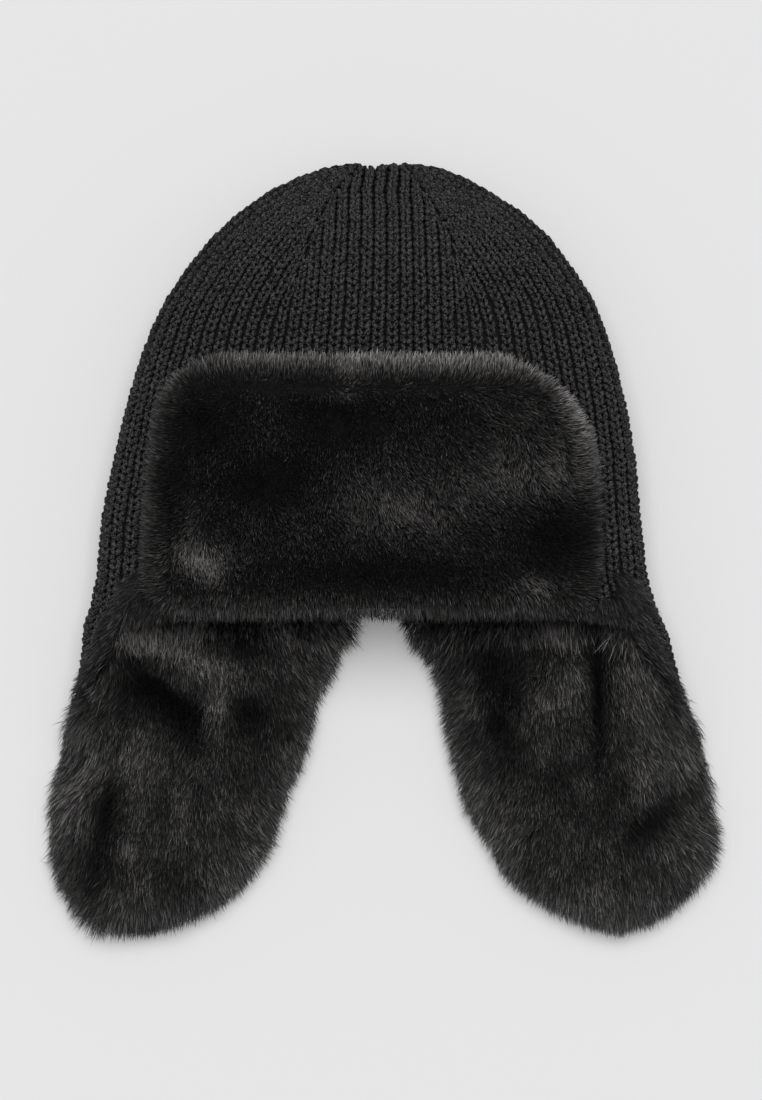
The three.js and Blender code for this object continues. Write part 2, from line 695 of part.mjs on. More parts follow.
function makeEarFlap(side) {
  const rings = FLAP_STEPS.map((down) => {
    const span = flapSpan(side, down);
    const ring = [];
    for (let i = 0; i <= KNIT_COLUMNS * 2; i += 1) {
      const along = mix(span.from, span.to, i / (KNIT_COLUMNS * 2));
      const curl = smooth(2, 8, flapPlace(side, down, along).z);
      ring.push(flapFace(side, down, along, i % 2 ? (RIB_DEEP / 2) * curl : 0));
    }
    for (let i = KNIT_COLUMNS; i >= 0; i -= 1) {
      const along = mix(span.from, span.to, i / KNIT_COLUMNS);
      ring.push(flapFace(side, down, along, FLAP_WALL));
    }
    return ring;
  });
  return geometryOf(loft(rings));
}

// Thickness of the fur from the hem to the tip of an ear flap, as a share of EAR_PILE.
const FUR_ROWS = [
  { down: 0, thick: 0.8 },
  { down: 0.035, thick: 0.92 },
  { down: 0.08, thick: 1 },
  { down: 0.72, thick: 1 },
  { down: 0.81, thick: 0.98 },
  { down: 0.88, thick: 0.92 },
  { down: KNIT_END, thick: 0.76 },
  { down: 0.975, thick: 0.34 },
];
const FUR_STEPS = [...FLAP_STEPS, 0.975];
const FUR_TOP_COLUMNS = 10;
const EAR_FIELD = {
  middleX: 0,
  halfWide: FLAP_REACH,
  topY: HEM_Y,
  long: FLAP_LONG,
  pile: EAR_PILE,
};

// The fur of an ear flap, `across` from -1 at its inner edge to 1 at its outer one.
function furPlace(side, down, across, rise) {
  const span = flapSpan(side, down);
  const along = mix(span.furFrom, span.furTo, (across + 1) / 2);
  return flapFace(side, down, along, FLAP_WALL + FUR_SEAT + rise);
}

function furThickness(side, down, across) {
  const round = (1 - Math.min(1, Math.abs(across)) ** FUR_POWER) ** (1 / FUR_POWER);
  const [x, y] = furPlace(side, down, across, 0);
  const dents = side < 0 ? LEFT_DENTS : RIGHT_DENTS;
  const pile = Math.max(PRESSED_PILE, EAR_PILE + dentRise(dents, EAR_FIELD, x, y));
  const full = pile * read(FUR_ROWS, down, "thick");
  return BACKING + Math.max(0.5, full * round);
}

// The under face of the fur keeps to the columns of the knit, so that it lies evenly on it.
function furUnder(side, down) {
  const span = flapSpan(side, down);
  const at = (along) => flapFace(side, down, along, FLAP_WALL + FUR_SEAT);
  const column = (i) => at(mix(span.from, span.to, i / KNIT_COLUMNS));
  const [beforeLast, last] = [column(KNIT_COLUMNS - 1), column(KNIT_COLUMNS)];
  const along = mix(span.from, span.to, (KNIT_COLUMNS - 1) / KNIT_COLUMNS);
  const between = (share) => beforeLast.map((value, k) => mix(value, last[k], share));
  const ends =
    span.furTo > span.to
      ? [last, at(span.furTo)]
      : [between(0.5), between((span.furTo - along) / (span.to - along))];
  const ring = [at(span.furFrom * 1.3)];
  for (let i = 0; i < KNIT_COLUMNS; i += 1) {
    ring.push(column(i));
  }
  return [...ring, ...ends].reverse();
}

function makeEarFur(side) {
  const rings = FUR_STEPS.map((down) => {
    const ring = [];
    for (let i = 0; i <= FUR_TOP_COLUMNS; i += 1) {
      const across = -Math.cos((Math.PI * i) / FUR_TOP_COLUMNS);
      const spread = Math.sign(across) * Math.abs(across) ** (2 / FUR_POWER);
      ring.push(furPlace(side, down, spread, furThickness(side, down, spread)));
    }
    return [...ring, ...furUnder(side, down)];
  });
  const place = (down, across, height) => {
    const rise = Math.max(BACKING + 3, furThickness(side, down, across) * height);
    return furPlace(side, down, across, rise);
  };
  const locks = [];
  for (let i = 0; i < 12; i += 1) {
    const down = 0.14 + (0.68 * i) / 11;
    const wide = Math.abs(flapEdge(side, down, "Out") - flapEdge(side, down, "In"));
    const inset = (2 * (LOCK_LONG - LOCK_REACH)) / (wide - 2 * LOCK_REACH);
    const size = 1 + 0.08 * Math.sin(i * 4.1);
    locks.push(lockOn(place, down, inset - 1, -1, 0.4, size, 0.55));
    if (down > 0.4) {
      locks.push(lockOn(place, down, 1 - inset, 1, 0.4, size, 0.55));
    }
  }
  for (let i = 0; i < 7; i += 1) {
    const across = ((i + 0.5) / 7) * 2 - 1;
    locks.push(lockOn(place, 0.885 - 0.07 * across * across, across * 0.7, across, 1, 1, 0.6));
  }
  for (let row = 0; row < 4; row += 1) {
    for (let i = 0; i < 4; i += 1) {
      const down = 0.13 + 0.17 * row + 0.02 * Math.sin(i * 2.3 + row);
      const across = ((i + (row % 2 ? 0.75 : 0.35)) / 4.1) * 1.4 - 0.7;
      locks.push(lockOn(place, down, across, across * 0.8, 0.8, 1.15, 0.95));
    }
  }
  return geometryOfSolid(fuse(solidOf(loft(rings)), locks));
}

const KNIT_LOOK = { color: 0x2b2b2c, roughness: 0.9, metalness: 0 };
const FUR_LOOK = { color: 0x1c1b1b, roughness: 0.75, metalness: 0 };

const group = new THREE.Group();
group.name = "aviator_hat";
for (const [name, geometry, look] of [
  ["crown", makeCrown(), KNIT_LOOK],
  ["front_flap", makeFrontFlap(), FUR_LOOK],
  ["ear_flap_left", makeEarFlap(-1), KNIT_LOOK],
  ["ear_flap_right", makeEarFlap(1), KNIT_LOOK],
  ["ear_fur_left", makeEarFur(-1), FUR_LOOK],
  ["ear_fur_right", makeEarFur(1), FUR_LOOK],
]) {
  const mesh = new THREE.Mesh(geometry, new THREE.MeshStandardMaterial(look));
  mesh.name = name;
  group.add(mesh);
}

export default group;
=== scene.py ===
import math
from functools import partial

import bmesh
import bpy
import numpy as np
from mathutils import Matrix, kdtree


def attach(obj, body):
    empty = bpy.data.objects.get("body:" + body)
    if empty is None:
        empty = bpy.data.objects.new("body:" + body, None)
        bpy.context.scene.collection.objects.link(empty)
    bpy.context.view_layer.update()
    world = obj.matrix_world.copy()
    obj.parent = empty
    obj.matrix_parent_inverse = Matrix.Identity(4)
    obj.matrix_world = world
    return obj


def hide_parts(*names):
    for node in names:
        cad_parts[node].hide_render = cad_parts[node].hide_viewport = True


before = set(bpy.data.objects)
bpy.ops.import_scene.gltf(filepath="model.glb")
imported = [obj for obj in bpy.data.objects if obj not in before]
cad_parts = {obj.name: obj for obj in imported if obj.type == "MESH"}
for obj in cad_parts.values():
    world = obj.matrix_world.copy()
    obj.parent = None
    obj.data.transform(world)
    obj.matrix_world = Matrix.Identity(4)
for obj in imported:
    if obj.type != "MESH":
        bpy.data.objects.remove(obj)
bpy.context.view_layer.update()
MM = 0.001

# Table: a matt white studio board. It is plain and even, lit by a broad soft light from
# beyond the top of the hat and by the pale room around it, and it glows a little by itself: a
# painted glow, which keeps the shadows on it pale.
BOARD_HALF = 2.5  # metres
BOARD_WHITE = "#e7e7e7"
BOARD_PAINTED_GLOW = 0.132  # light that the board passes on from below, which keeps shadows pale
LIGHT_FROM_TOP = 71  # degrees above the table
LIGHT_SPREAD = 45
LIGHT_POWER = 1.88
ROOM_LIGHT = 0.266


def linear(code):
    """An sRGB hex colour as linear RGBA."""
    shares = [int(code[place : place + 2], 16) / 255 for place in (1, 3, 5)]
    return (*[s / 12.92 if s <= 0.04045 else ((s + 0.055) / 1.055) ** 2.4 for s in shares], 1)


def node(material, kind, inputs=None, **settings):
    """A new node: inputs maps a socket's name or number to a value or another's output."""
    made = material.node_tree.nodes.new(kind)
    for name, value in settings.items():
        setattr(made, name, value)
    for key, value in (inputs or {}).items():
        if isinstance(value, bpy.types.NodeSocket):
            material.node_tree.links.new(value, made.inputs[key])
        else:
            made.inputs[key].default_value = value
    return made


def new_material(name):
    material = bpy.data.materials.new(name)
    material.use_nodes = True
    material.node_tree.nodes.clear()
    return material


def finish_material(material, inputs):
    shader = node(material, "ShaderNodeBsdfPrincipled", inputs)
    node(material, "ShaderNodeOutputMaterial", {"Surface": shader.outputs[0]})


def mesh_from(name, bm):
    mesh = bpy.data.meshes.new(name)
    bm.to_mesh(mesh)
    bm.free()
    return mesh


def new_object(name, data):
    made = bpy.data.objects.new(name, data)
    bpy.context.collection.objects.link(made)
    return made


def new_piece(name, mesh, material):
    piece = new_object(name, mesh)
    mesh.materials.append(material)
    mesh.shade_smooth()
    return piece


white_board = new_material("matt_white_board")
finish_material(
    white_board,
    {
        "Base Color": linear(BOARD_WHITE),
        "Roughness": 1.0,
        "Specular IOR Level": 0.0,
        "Emission Color": (1, 1, 1, 1),
        "Emission Strength": BOARD_PAINTED_GLOW,
    },
)
board_bm = bmesh.new()
bmesh.ops.create_grid(board_bm, x_segments=2, y_segments=2, size=BOARD_HALF)
table = new_piece("table", mesh_from("table", board_bm), white_board)

room = bpy.data.worlds.new("pale_room")
room.use_nodes = True
background = room.node_tree.nodes["Background"]
background.inputs["Color"].default_value = (1, 1, 1, 1)
background.inputs["Strength"].default_value = ROOM_LIGHT
bpy.context.scene.world = room
lamp_data = bpy.data.lights.new("soft_light", "SUN")
lamp_data.energy = LIGHT_POWER
lamp_data.angle = math.radians(LIGHT_SPREAD)
lamp = new_object("soft_light", lamp_data)
lamp.rotation_euler = (math.radians(LIGHT_FROM_TOP - 90), 0, 0)
lamp.location = (0, 1, 1.5)
bpy.context.scene.view_settings.view_transform = "Standard"

# Camera: straight above the table, 2 m over the hat, which fills the upright frame as in
# the photo.
CAMERA_AWAY = 2000
FRAME_TALL = 495  # height of the frame, FRAME_UP above the table
FRAME_UP = 20
FRAME_MIDDLE_Y = -67.5
camera_data = bpy.data.cameras.new("camera")
camera_data.sensor_fit = "VERTICAL"
camera_data.angle = 2 * math.atan(FRAME_TALL / 2 / CAMERA_AWAY)
camera = new_object("camera", camera_data)
camera.location = (0, FRAME_MIDDLE_Y * MM, (CAMERA_AWAY + FRAME_UP) * MM)
bpy.context.scene.camera = camera

# Crown: thick black acrylic yarn in a deep rib, knitted in one piece and drawn together at
# the top, with two darts in front and two behind. Here it is a ribbed wall, and over it
# each stitch is a V of two legs of yarn.
CROWN_WIDE = 245
CROWN_LONG = 199
CROWN_TALL = 54
TOP_Y = 106
HEM_Y = TOP_Y - CROWN_LONG
WALL = 3.6
SECTION_POWER = 2.4  # 2 makes the crown's section an ellipse, more makes it squarer
PRESSED = 4  # how far its back is pressed flat by the table
NOTCH_DEEP = 3  # the drawn yarn leaves a notch in the middle of the top
RIBS = 72
FRONT_RIBS = 13
SIDE_RIBS = RIBS // 2 - FRONT_RIBS
DART_FOOT = 0.37  # where the darts end, as a share of the way down
RIB_CLOSER = 0.86  # pitch of the ribs at the top, as a share of that at the darts' ends
ROW_TALL = 3.35  # one row of stitches
RIB_WIDE = 6.85  # the width that the stitch below is drawn for
TOP_RINGS = ((0.95, 15), (0.5, 8))  # share of the top's size, and stitches in the ring
TOP_WIDE = 12
TOP_DEEP = 6
TOP_STITCH_WIDE = 5.0
YARN_SUNK = 1.9  # depth of the ribbed wall under the backs of the stitches
WALL_WAVE = 1.2  # depth of the wave that the ribs leave in that wall
WALL_ROWS = 42
WALL_COLUMNS = 360
HOLLOW_DOWN = 0.06  # where the hollow begins, as a share of the way down
PLY_TWIST = 2.4  # length of one turn of the two plies
STITCH_UNEVEN = 0.05  # spread of the turn, in radians, and of the size, as a share
STITCH_SHIFT = 0.13
TABLE_GAP = 0.02
ROWS_FOLLOW_RIBS = 0.7  # 1 spaces the rows evenly along each rib, 0 keeps them level


def rows_of(columns, *rows):
    """A table of numbers with named columns."""
    return np.array(list(rows), dtype=[(name, float) for name in columns.split()])


CROWN_ROWS = rows_of(
    "down half_wide tall lean",
    (0.002, 0.085, 0.24, -0.004),
    (0.01, 0.21, 0.3, 0.002),
    (0.028, 0.295, 0.38, 0.001),
    (0.06, 0.405, 0.52, -0.003),
    (0.11, 0.522, 0.7, -0.001),
    (0.17, 0.623, 0.84, -0.001),
    (0.24, 0.709, 0.94, -0.002),
    (0.31, 0.782, 0.99, -0.003),
    (0.37, 0.826, 1, -0.005),
    (0.46, 0.876, 1, -0.007),
    (0.56, 0.918, 0.97, -0.009),
    (0.67, 0.955, 0.93, -0.012),
    (0.8, 0.986, 0.88, -0.018),
    (0.93, 1.007, 0.86, -0.017),
    (1, 1.035, 0.86, -0.014),
)
# One leg of a stitch, from behind the row above down to the point of the V. The stitches
# behind do without its second ring.
LEG = rows_of(
    "across along up thick",
    (1.35, -2.2, -2.9, 0.7),
    (1.84, -1.2, -1.1, 1.06),
    (1.74, -0.25, -0.42, 1.18),
    (1.08, 0.85, -0.6, 1.18),
    (0.35, 2.1, -2.5, 0.8),
)


def read(table_rows, down, column):
    return np.interp(down, table_rows["down"], table_rows[column])


def smooth(start, end, value):
    share = np.clip((value - start) / (end - start), 0, 1)
    return share * share * (3 - 2 * share)


def unit(vectors):
    return vectors / np.maximum(np.linalg.norm(vectors, axis=-1, keepdims=True), 1e-9)


def squared(vectors, others):
    """The vectors turned square to the others."""
    return unit(vectors - others * (vectors * others).sum(axis=1)[:, None])


def sample(grid, row, column):
    """Reads grid[rows, columns, values] between its points."""
    i = np.clip(np.floor(row).astype(int), 0, grid.shape[0] - 2)
    j = np.clip(np.floor(column).astype(int), 0, grid.shape[1] - 2)
    f = np.clip(row - i, 0, 1)[..., None]
    g = np.clip(column - j, 0, 1)[..., None]
    upper = grid[i, j] * (1 - g) + grid[i, j + 1] * g
    lower = grid[i + 1, j] * (1 - g) + grid[i + 1, j + 1] * g
    return upper * (1 - f) + lower * f


CROWN_DOWN = np.linspace(0.002, 1, 250)
SHARES = 161


def crown_section(down):
    """Half the width, the height and half the unpressed height of the crown's section."""
    half_wide = read(CROWN_ROWS, down, "half_wide") * CROWN_WIDE / 2
    tall = read(CROWN_ROWS, down, "tall") * CROWN_TALL
    return half_wide, tall, (tall + PRESSED * np.minimum(1, tall / 20)) / 2


def crown_grid(inset):
    """One half of the crown by rows down it and shares of the way from front to back."""
    angle = np.linspace(0, math.pi, 241)
    half_wide, tall, half_tall = crown_section(CROWN_DOWN[:, None])
    x = np.clip(np.sin(angle), 0, 1) ** (2 / SECTION_POWER) * half_wide
    up = np.sign(np.cos(angle)) * np.abs(np.cos(angle)) ** (2 / SECTION_POWER) * half_tall
    out_x = (x / half_wide) ** (SECTION_POWER - 1) / half_wide
    out_z = np.sign(up) * np.abs(up / half_tall) ** (SECTION_POWER - 1) / half_tall
    size = np.hypot(out_x, out_z)
    z = np.maximum(tall - half_tall + up - out_z / size * inset, inset)
    x = x - out_x / size * inset
    step = np.hypot(np.diff(x, axis=1), np.diff(z, axis=1))
    gone = np.concatenate([np.zeros((len(x), 1)), np.cumsum(step, axis=1)], axis=1)
    share = np.linspace(0, 1, SHARES)
    even_x, even_z = (
        np.array([np.interp(share * g[-1], g, row) for g, row in zip(gone, values)])
        for values in (x, z)
    )
    y = np.repeat((TOP_Y - CROWN_DOWN * CROWN_LONG)[:, None], SHARES, axis=1)
    places = np.stack([even_x, y, even_z], axis=-1)
    normals = unit(np.cross(np.gradient(places, axis=0), np.gradient(places, axis=1)))
    return np.concatenate([places, normals], axis=-1), gone[:, -1]


CROWN_OUTER, CROWN_HALF = crown_grid(0)
CROWN_INNER, CROWN_INNER_HALF = crown_grid(WALL)


def crown_row(down):
    return (down - CROWN_DOWN[0]) / (CROWN_DOWN[1] - CROWN_DOWN[0])


def half_round(down):
    return np.interp(down, CROWN_DOWN, CROWN_HALF)


def on_crown(down, gone, grid=CROWN_OUTER, halves=CROWN_HALF):
    """Places and normals on the crown, `gone` mm round from the middle of its front."""
    half = np.interp(down, CROWN_DOWN, halves)
    gone = (gone + half) % (2 * half) - half
    found = sample(grid, crown_row(down), np.abs(gone) / half * (SHARES - 1))
    side = np.where(gone < 0, -1.0, 1.0)
    found[..., 0] *= side
    found[..., 3] *= side
    found[..., 0] += read(CROWN_ROWS, down, "lean") * CROWN_WIDE
    return found[..., :3], found[..., 3:]


def rib_pitch(down):
    at_foot = 2 * half_round(DART_FOOT) / RIBS
    closer = at_foot * (RIB_CLOSER + (1 - RIB_CLOSER) * down / DART_FOOT)
    return np.where(down < DART_FOOT, closer, 2 * half_round(down) / RIBS)


PANELS = [(0.0, FRONT_RIBS), (0.25, SIDE_RIBS), (0.5, FRONT_RIBS), (0.75, SIDE_RIBS)]


def rib_sunk(down, gone):
    """Depth of the rib's wave below its crest, counted from the middle of each panel."""
    length = 2 * half_round(down)
    pitch = rib_pitch(down)
    sunk = np.full(np.shape(gone), WALL_WAVE)
    for middle, ribs in PANELS:
        off = (gone / length - middle + 0.5) % 1 * length - length / 2
        wave = WALL_WAVE / 2 * (1 - np.cos(2 * math.pi * off / pitch))
        sunk = np.where(np.abs(off) <= length * ribs / RIBS / 2, wave, sunk)
    return sunk


def noise(material, lump, detail):
    """Noise in lumps of that many millimetres, fixed to the piece."""
    place = node(material, "ShaderNodeTexCoord").outputs["Object"]
    inputs = {"Vector": place, "Scale": 1 / (lump * MM), "Detail": detail}
    return node(material, "ShaderNodeTexNoise", inputs).outputs["Fac"]


def ramp(material, share, stops):
    """A colour for each share. stops are (share, hex colour) in rising order."""
    made = node(material, "ShaderNodeValToRGB", {"Fac": share})
    elements = made.color_ramp.elements
    for element, (position, colour) in zip(elements, (stops[0], stops[-1])):
        element.position = position
        element.color = linear(colour)
    for position, colour in stops[1:-1]:
        elements.new(position).color = linear(colour)
    return made.outputs["Color"]


def bump(material, height, deep, strength, inputs=None):
    """A bump that is `deep` millimetres deep."""
    inputs = {"Height": height, "Distance": deep * MM, "Strength": strength, **(inputs or {})}
    return node(material, "ShaderNodeBump", inputs).outputs[0]


def attribute(material, name):
    return node(material, "ShaderNodeAttribute", attribute_name=name).outputs["Fac"]


# Spun fibre is uneven along its length, in lumps of 0.75 mm. The attribute "tone" is painted
# shade: it darkens the legs towards the valleys between the ribs and down into the knit, where
# the fibres lie in shade.
yarn = new_material("black_acrylic_yarn")
yarn_shades = ramp(yarn, noise(yarn, 0.75, 5.0), [(0.42, "#0a0a0b"), (0.59, "#575758")])
yarn_inputs = {0: yarn_shades, "Scale": attribute(yarn, "tone")}
yarn_colour = node(yarn, "ShaderNodeVectorMath", yarn_inputs, operation="SCALE")
# Its two plies show as a bump. The attribute "twist" counts their turns.
ply_inputs = {0: attribute(yarn, "twist"), 1: 2 * math.pi}
ply_angle = node(yarn, "ShaderNodeMath", ply_inputs, operation="MULTIPLY")
plies = node(yarn, "ShaderNodeMath", {0: ply_angle.outputs[0]}, operation="COSINE")
ply_bump = bump(yarn, plies.outputs[0], 0.12, 0.6)
fuzz_bump = bump(yarn, noise(yarn, 0.5, 3.0), 0.5, 1.0, {"Normal": ply_bump})
finish_material(
    yarn,
    {
        "Base Color": yarn_colour.outputs["Vector"],
        "Roughness": 0.85,
        "Specular IOR Level": 0.15,
        "Normal": fuzz_bump,
    },
)

# The same yarn painted darker, as painted shade, for the wall deep between the stitches, where
# its fibres shade one another.
painted_shade_yarn = new_material("yarn_painted_shade_between_stitches")
painted_shade_colours = ramp(painted_shade_yarn, noise(painted_shade_yarn, 0.8, 3.0), [(0, "#121212"), (1, "#272728")])
finish_material(
    painted_shade_yarn, {"Base Color": painted_shade_colours, "Roughness": 0.95, "Specular IOR Level": 0.1}
)


def write_places(mesh, places):
    mesh.vertices.foreach_set("co", (places * MM).astype(np.float32).ravel())
    mesh.update()


def read_places(mesh):
    places = np.empty(len(mesh.vertices) * 3, np.float32)
    mesh.vertices.foreach_get("co", places)
    return places.reshape(-1, 3).astype(float)


def turn_out(mesh):
    """Turns the faces of a closed mesh outwards."""
    bm = bmesh.new()
    bm.from_mesh(mesh)
    bmesh.ops.recalc_face_normals(bm, faces=bm.faces[:])
    bm.to_mesh(mesh)
    bm.free()
    return mesh


def crown_wall():
    """The ribbed wall: a sphere's net, open at the hem, extruded into a wall and shaped."""
    bm = bmesh.new()
    bmesh.ops.create_uvsphere(bm, u_segments=WALL_COLUMNS, v_segments=WALL_ROWS, radius=1)
    foot = [v for v in bm.verts if v.co.z < -0.99999]
    bmesh.ops.delete(bm, geom=foot, context="VERTS")
    made = bmesh.ops.extrude_face_region(bm, geom=bm.faces[:])
    inner = [v for v in made["geom"] if isinstance(v, bmesh.types.BMVert)]
    bmesh.ops.scale(bm, vec=(2, 2, 2), verts=inner)
    mesh = mesh_from("crown_knit", bm)
    net = read_places(mesh)
    radius = np.linalg.norm(net, axis=1)
    polar = np.arccos(np.clip(net[:, 2] / radius, -1, 1)) / math.pi
    down = np.clip(polar * WALL_ROWS / (WALL_ROWS - 1), 0, 1) ** 1.3  # closer near the top
    round_share = np.arctan2(net[:, 0], net[:, 1]) / math.pi
    is_inner = radius > 1.5
    outer_down = np.maximum(down, CROWN_DOWN[0])
    gone = round_share * half_round(outer_down)
    places, normals = on_crown(outer_down, gone)
    places = places - normals * (rib_sunk(outer_down, gone) + YARN_SUNK)[:, None]
    inner_down = HOLLOW_DOWN + (1 - HOLLOW_DOWN) * down
    inner_gone = round_share * np.interp(inner_down, CROWN_DOWN, CROWN_INNER_HALF)
    inside, _ = on_crown(inner_down, inner_gone, CROWN_INNER, CROWN_INNER_HALF)
    places[is_inner] = inside[is_inner]
    places[:, 2] = np.maximum(places[:, 2], 0)
    # The net's pole closes the top outside, sunk into the notch, and the hollow inside.
    tip = polar < 1e-6
    top_z = CROWN_ROWS["tall"][0] * CROWN_TALL / 2
    places[tip & ~is_inner] = (-0.5, TOP_Y - NOTCH_DEEP - 1, top_z)
    cap_z = read(CROWN_ROWS, HOLLOW_DOWN, "tall") * CROWN_TALL / 2
    places[tip & is_inner] = (-0.7, TOP_Y - HOLLOW_DOWN * CROWN_LONG + 1.5, cap_z)
    write_places(mesh, places)
    return turn_out(mesh)


crown_knit = new_piece("crown_knit", crown_wall(), painted_shade_yarn)
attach(crown_knit, "root")
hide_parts("crown")


def cell_corners(places):
    """Low corners of equal cells in a square, in which near places keep near cells."""
    count = len(places)
    side = math.ceil(math.sqrt(count))
    by_y = np.argsort(places[:, 1], kind="stable")
    rows = [by_y[start : start + side] for start in range(0, count, side)]
    order = np.concatenate([row[np.argsort(places[row, 0])] for row in rows])
    number = np.empty(count, int)
    number[order] = np.arange(count)
    return np.stack([number % side, number // side], axis=1) / side, 1 / side


def mesh_of(name, centres, made, faces, cell, tone, twist=None):
    """A mesh of repeats: made holds their vertices, faces and cell the triangles and the map
    of one. In the map OFBake each repeat has its own cell."""
    count, size = made.shape[:2]
    corners = (faces + (np.arange(count) * size)[:, None, None]).ravel()
    low, cell_wide = cell_corners(centres)
    cells = (low[:, None] + cell * cell_wide).reshape(-1, 2)
    mesh = bpy.data.meshes.new(name)
    mesh.vertices.add(count * size)
    mesh.loops.add(len(corners))
    mesh.polygons.add(len(corners) // 3)
    mesh.loops.foreach_set("vertex_index", corners.astype(np.int32))
    mesh.polygons.foreach_set("loop_start", np.arange(0, len(corners), 3, dtype=np.int32))
    write_places(mesh, made.reshape(-1, 3))
    spread = mesh.uv_layers.new(name="OFBake")
    spread.data.foreach_set("uv", cells[corners].astype(np.float32).ravel())
    for title, values in (("twist", twist), ("tone", tone)):
        if values is not None:
            layer = mesh.attributes.new(title, "FLOAT", "POINT")
            layer.data.foreach_set("value", values.astype(np.float32).ravel())
    mesh.validate()
    return mesh


def stitch_shape(sides, leg):
    """The two legs of one stitch: vertices, triangles, places in the cell, twist, and how far
    each vertex lies out towards the valley and down into the knit."""
    across, along, up, thick = (leg[column] for column in ("across", "along", "up", "thick"))
    line = np.stack([across, along, up], axis=1)
    way = unit(np.gradient(line, axis=0))
    flat = unit(np.cross(way, [0, 0, 1.0]))
    rise = np.cross(flat, way)
    gone = np.concatenate([[0], np.cumsum(np.linalg.norm(np.diff(line, axis=0), axis=1))])
    angle = np.arange(sides) * 2 * math.pi / sides
    ring = np.cos(angle)[:, None] * flat[:, None] + np.sin(angle)[:, None] * rise[:, None]
    tube = (line[:, None] + ring * thick[:, None, None]).reshape(-1, 3)
    rings = len(leg)
    faces = []
    for i in range(rings - 1):
        for k in range(sides):
            a, b = i * sides + k, i * sides + (k + 1) % sides
            faces += [(a, a + sides, b), (b, a + sides, b + sides)]
    for start, flip in ((0, False), ((rings - 1) * sides, True)):
        for k in range(1, sides - 1):
            cap = (start, start + k, start + k + 1)
            faces.append(cap[::-1] if flip else cap)
    share = np.repeat(np.arange(rings) / (rings - 1), sides)
    turn = np.tile(angle / (2 * math.pi), rings)
    cell = np.stack([0.05 + 0.4 * np.abs(turn * 2 - 1), 0.05 + 0.9 * share], axis=1)
    twist = np.repeat(gone / PLY_TWIST, sides) + turn
    outward = smooth(1.6, 3.0, tube[:, 0])
    deep = smooth(-0.6, -2.4, tube[:, 2])
    other = tube * [-1, 1, 1]
    flipped = [face[::-1] for face in faces]
    count = len(tube)
    return (
        np.concatenate([tube, other]),
        np.array(faces + [tuple(v + count for v in face) for face in flipped]),
        np.concatenate([cell, cell + [0.5, 0]]),
        np.tile(twist, 2),
        np.tile(outward, 2),
        np.tile(deep, 2),
    )


def stitches(name, spots, sides, seed, leg=LEG):
    """One V for each spot: its place, the way down the rib, the normal out of the knit, its
    width and its height. Each is turned, sized and shifted a little, as in real knitting."""
    rng = np.random.default_rng(seed)
    shape, faces, cell, twist, outward, deep = stitch_shape(sides, leg)
    count = len(spots)
    places, ways, normals = spots[:, :3], spots[:, 3:6], spots[:, 6:9]
    wide, tall = spots[:, 9] / RIB_WIDE, spots[:, 10] / ROW_TALL
    turn = rng.normal(0, STITCH_UNEVEN, count)[:, None]
    over = unit(np.cross(ways, normals))
    way = unit(ways + over * turn)
    over = np.cross(way, normals)
    size = rng.normal(1, STITCH_UNEVEN, (count, 1))
    local = shape * np.stack([wide, tall, np.ones(count)], axis=1)[:, None]
    local = local * (size[:, :, None] * [1, 0.4, 0.3] + [0, 0.6, 0.7])
    local = local + rng.normal(0, STITCH_SHIFT, (count, 1, 3))
    made = (
        places[:, None]
        + local[..., :1] * over[:, None]
        + local[..., 1:2] * way[:, None]
        + local[..., 2:] * normals[:, None]
    )
    made[..., 2] = np.maximum(made[..., 2], TABLE_GAP)
    starts = rng.random(count)[:, None]
    # On the shoulders the ribs turn away from the eye, and there the legs get more painted shade
    # towards their valleys.
    turned = (1 - smooth(0.5, 0.92, np.abs(normals[:, 2:]))) * smooth(5, 40, places[:, 1:2])
    shaded = (0.42 + 0.5 * turned) * outward ** (1 - 0.6 * turned)
    tone = np.maximum(1 - 0.3 * deep - shaded, 0.08)
    return mesh_of(name, places, made, faces, cell, tone, twist + starts)


def rib_stitches():
    """Spots of all the crown's stitches, rib by rib."""
    found = []
    downs = np.linspace(0.006, 1, 400)
    length = 2 * half_round(downs)
    pitch = rib_pitch(downs)
    for middle, ribs in PANELS:
        for k in range(-(ribs // 2), ribs // 2 + 1):
            # A rib that meets a dart grows narrower along it, and then ends in it.
            room = np.minimum(length * ribs / RIBS / 2 - abs(k) * pitch, pitch / 2)
            inside = room > -0.2 * pitch
            rib_downs = downs[inside]
            missing = (pitch / 2 - room)[inside]
            gone = middle * length[inside] + k * pitch[inside] - np.sign(k) * missing / 2
            wide = np.maximum(pitch[inside] - missing, 0.66 * pitch[inside])
            wide = wide * (1 + 0.06 * smooth(0.35, 0.5, rib_downs) if ribs == SIDE_RIBS else 1.15)
            places, normals = on_crown(rib_downs, gone)
            ways = unit(np.gradient(places, axis=0))
            steps = np.linalg.norm(np.diff(places, axis=0), axis=1)
            left = np.concatenate([np.cumsum(steps[::-1])[::-1], [0]])
            level = (1 - rib_downs) * CROWN_LONG
            rows = (ROWS_FOLLOW_RIBS * left + (1 - ROWS_FOLLOW_RIBS) * level) / ROW_TALL
            wanted = np.append(np.arange(0.5, rows[0] - 0.5, 1.0), rows[0] - 0.05)
            rising = rows[::-1]
            line = np.column_stack([places, ways, normals, wide, left])
            rib = np.stack([np.interp(wanted, rising, c[::-1]) for c in line.T], axis=1)
            rib[:, 3:6] = unit(rib[:, 3:6])
            rib[:, 6:9] = unit(rib[:, 6:9])
            rib[:, 10] = np.abs(np.gradient(rib[:, 10]))
            found.append(rib)
    found = np.concatenate(found)
    # Near the top the ribs turn over towards the gathers.
    found_down = (TOP_Y - found[:, 1]) / CROWN_LONG
    found[:, 1] += 1.3 * smooth(0.08, 0, found_down)
    in_notch = np.exp(-(((found[:, 0] + 4) / 3.5) ** 2)) * smooth(0.04, 0, found_down)
    found[:, 1] -= 1.8 * in_notch
    return found


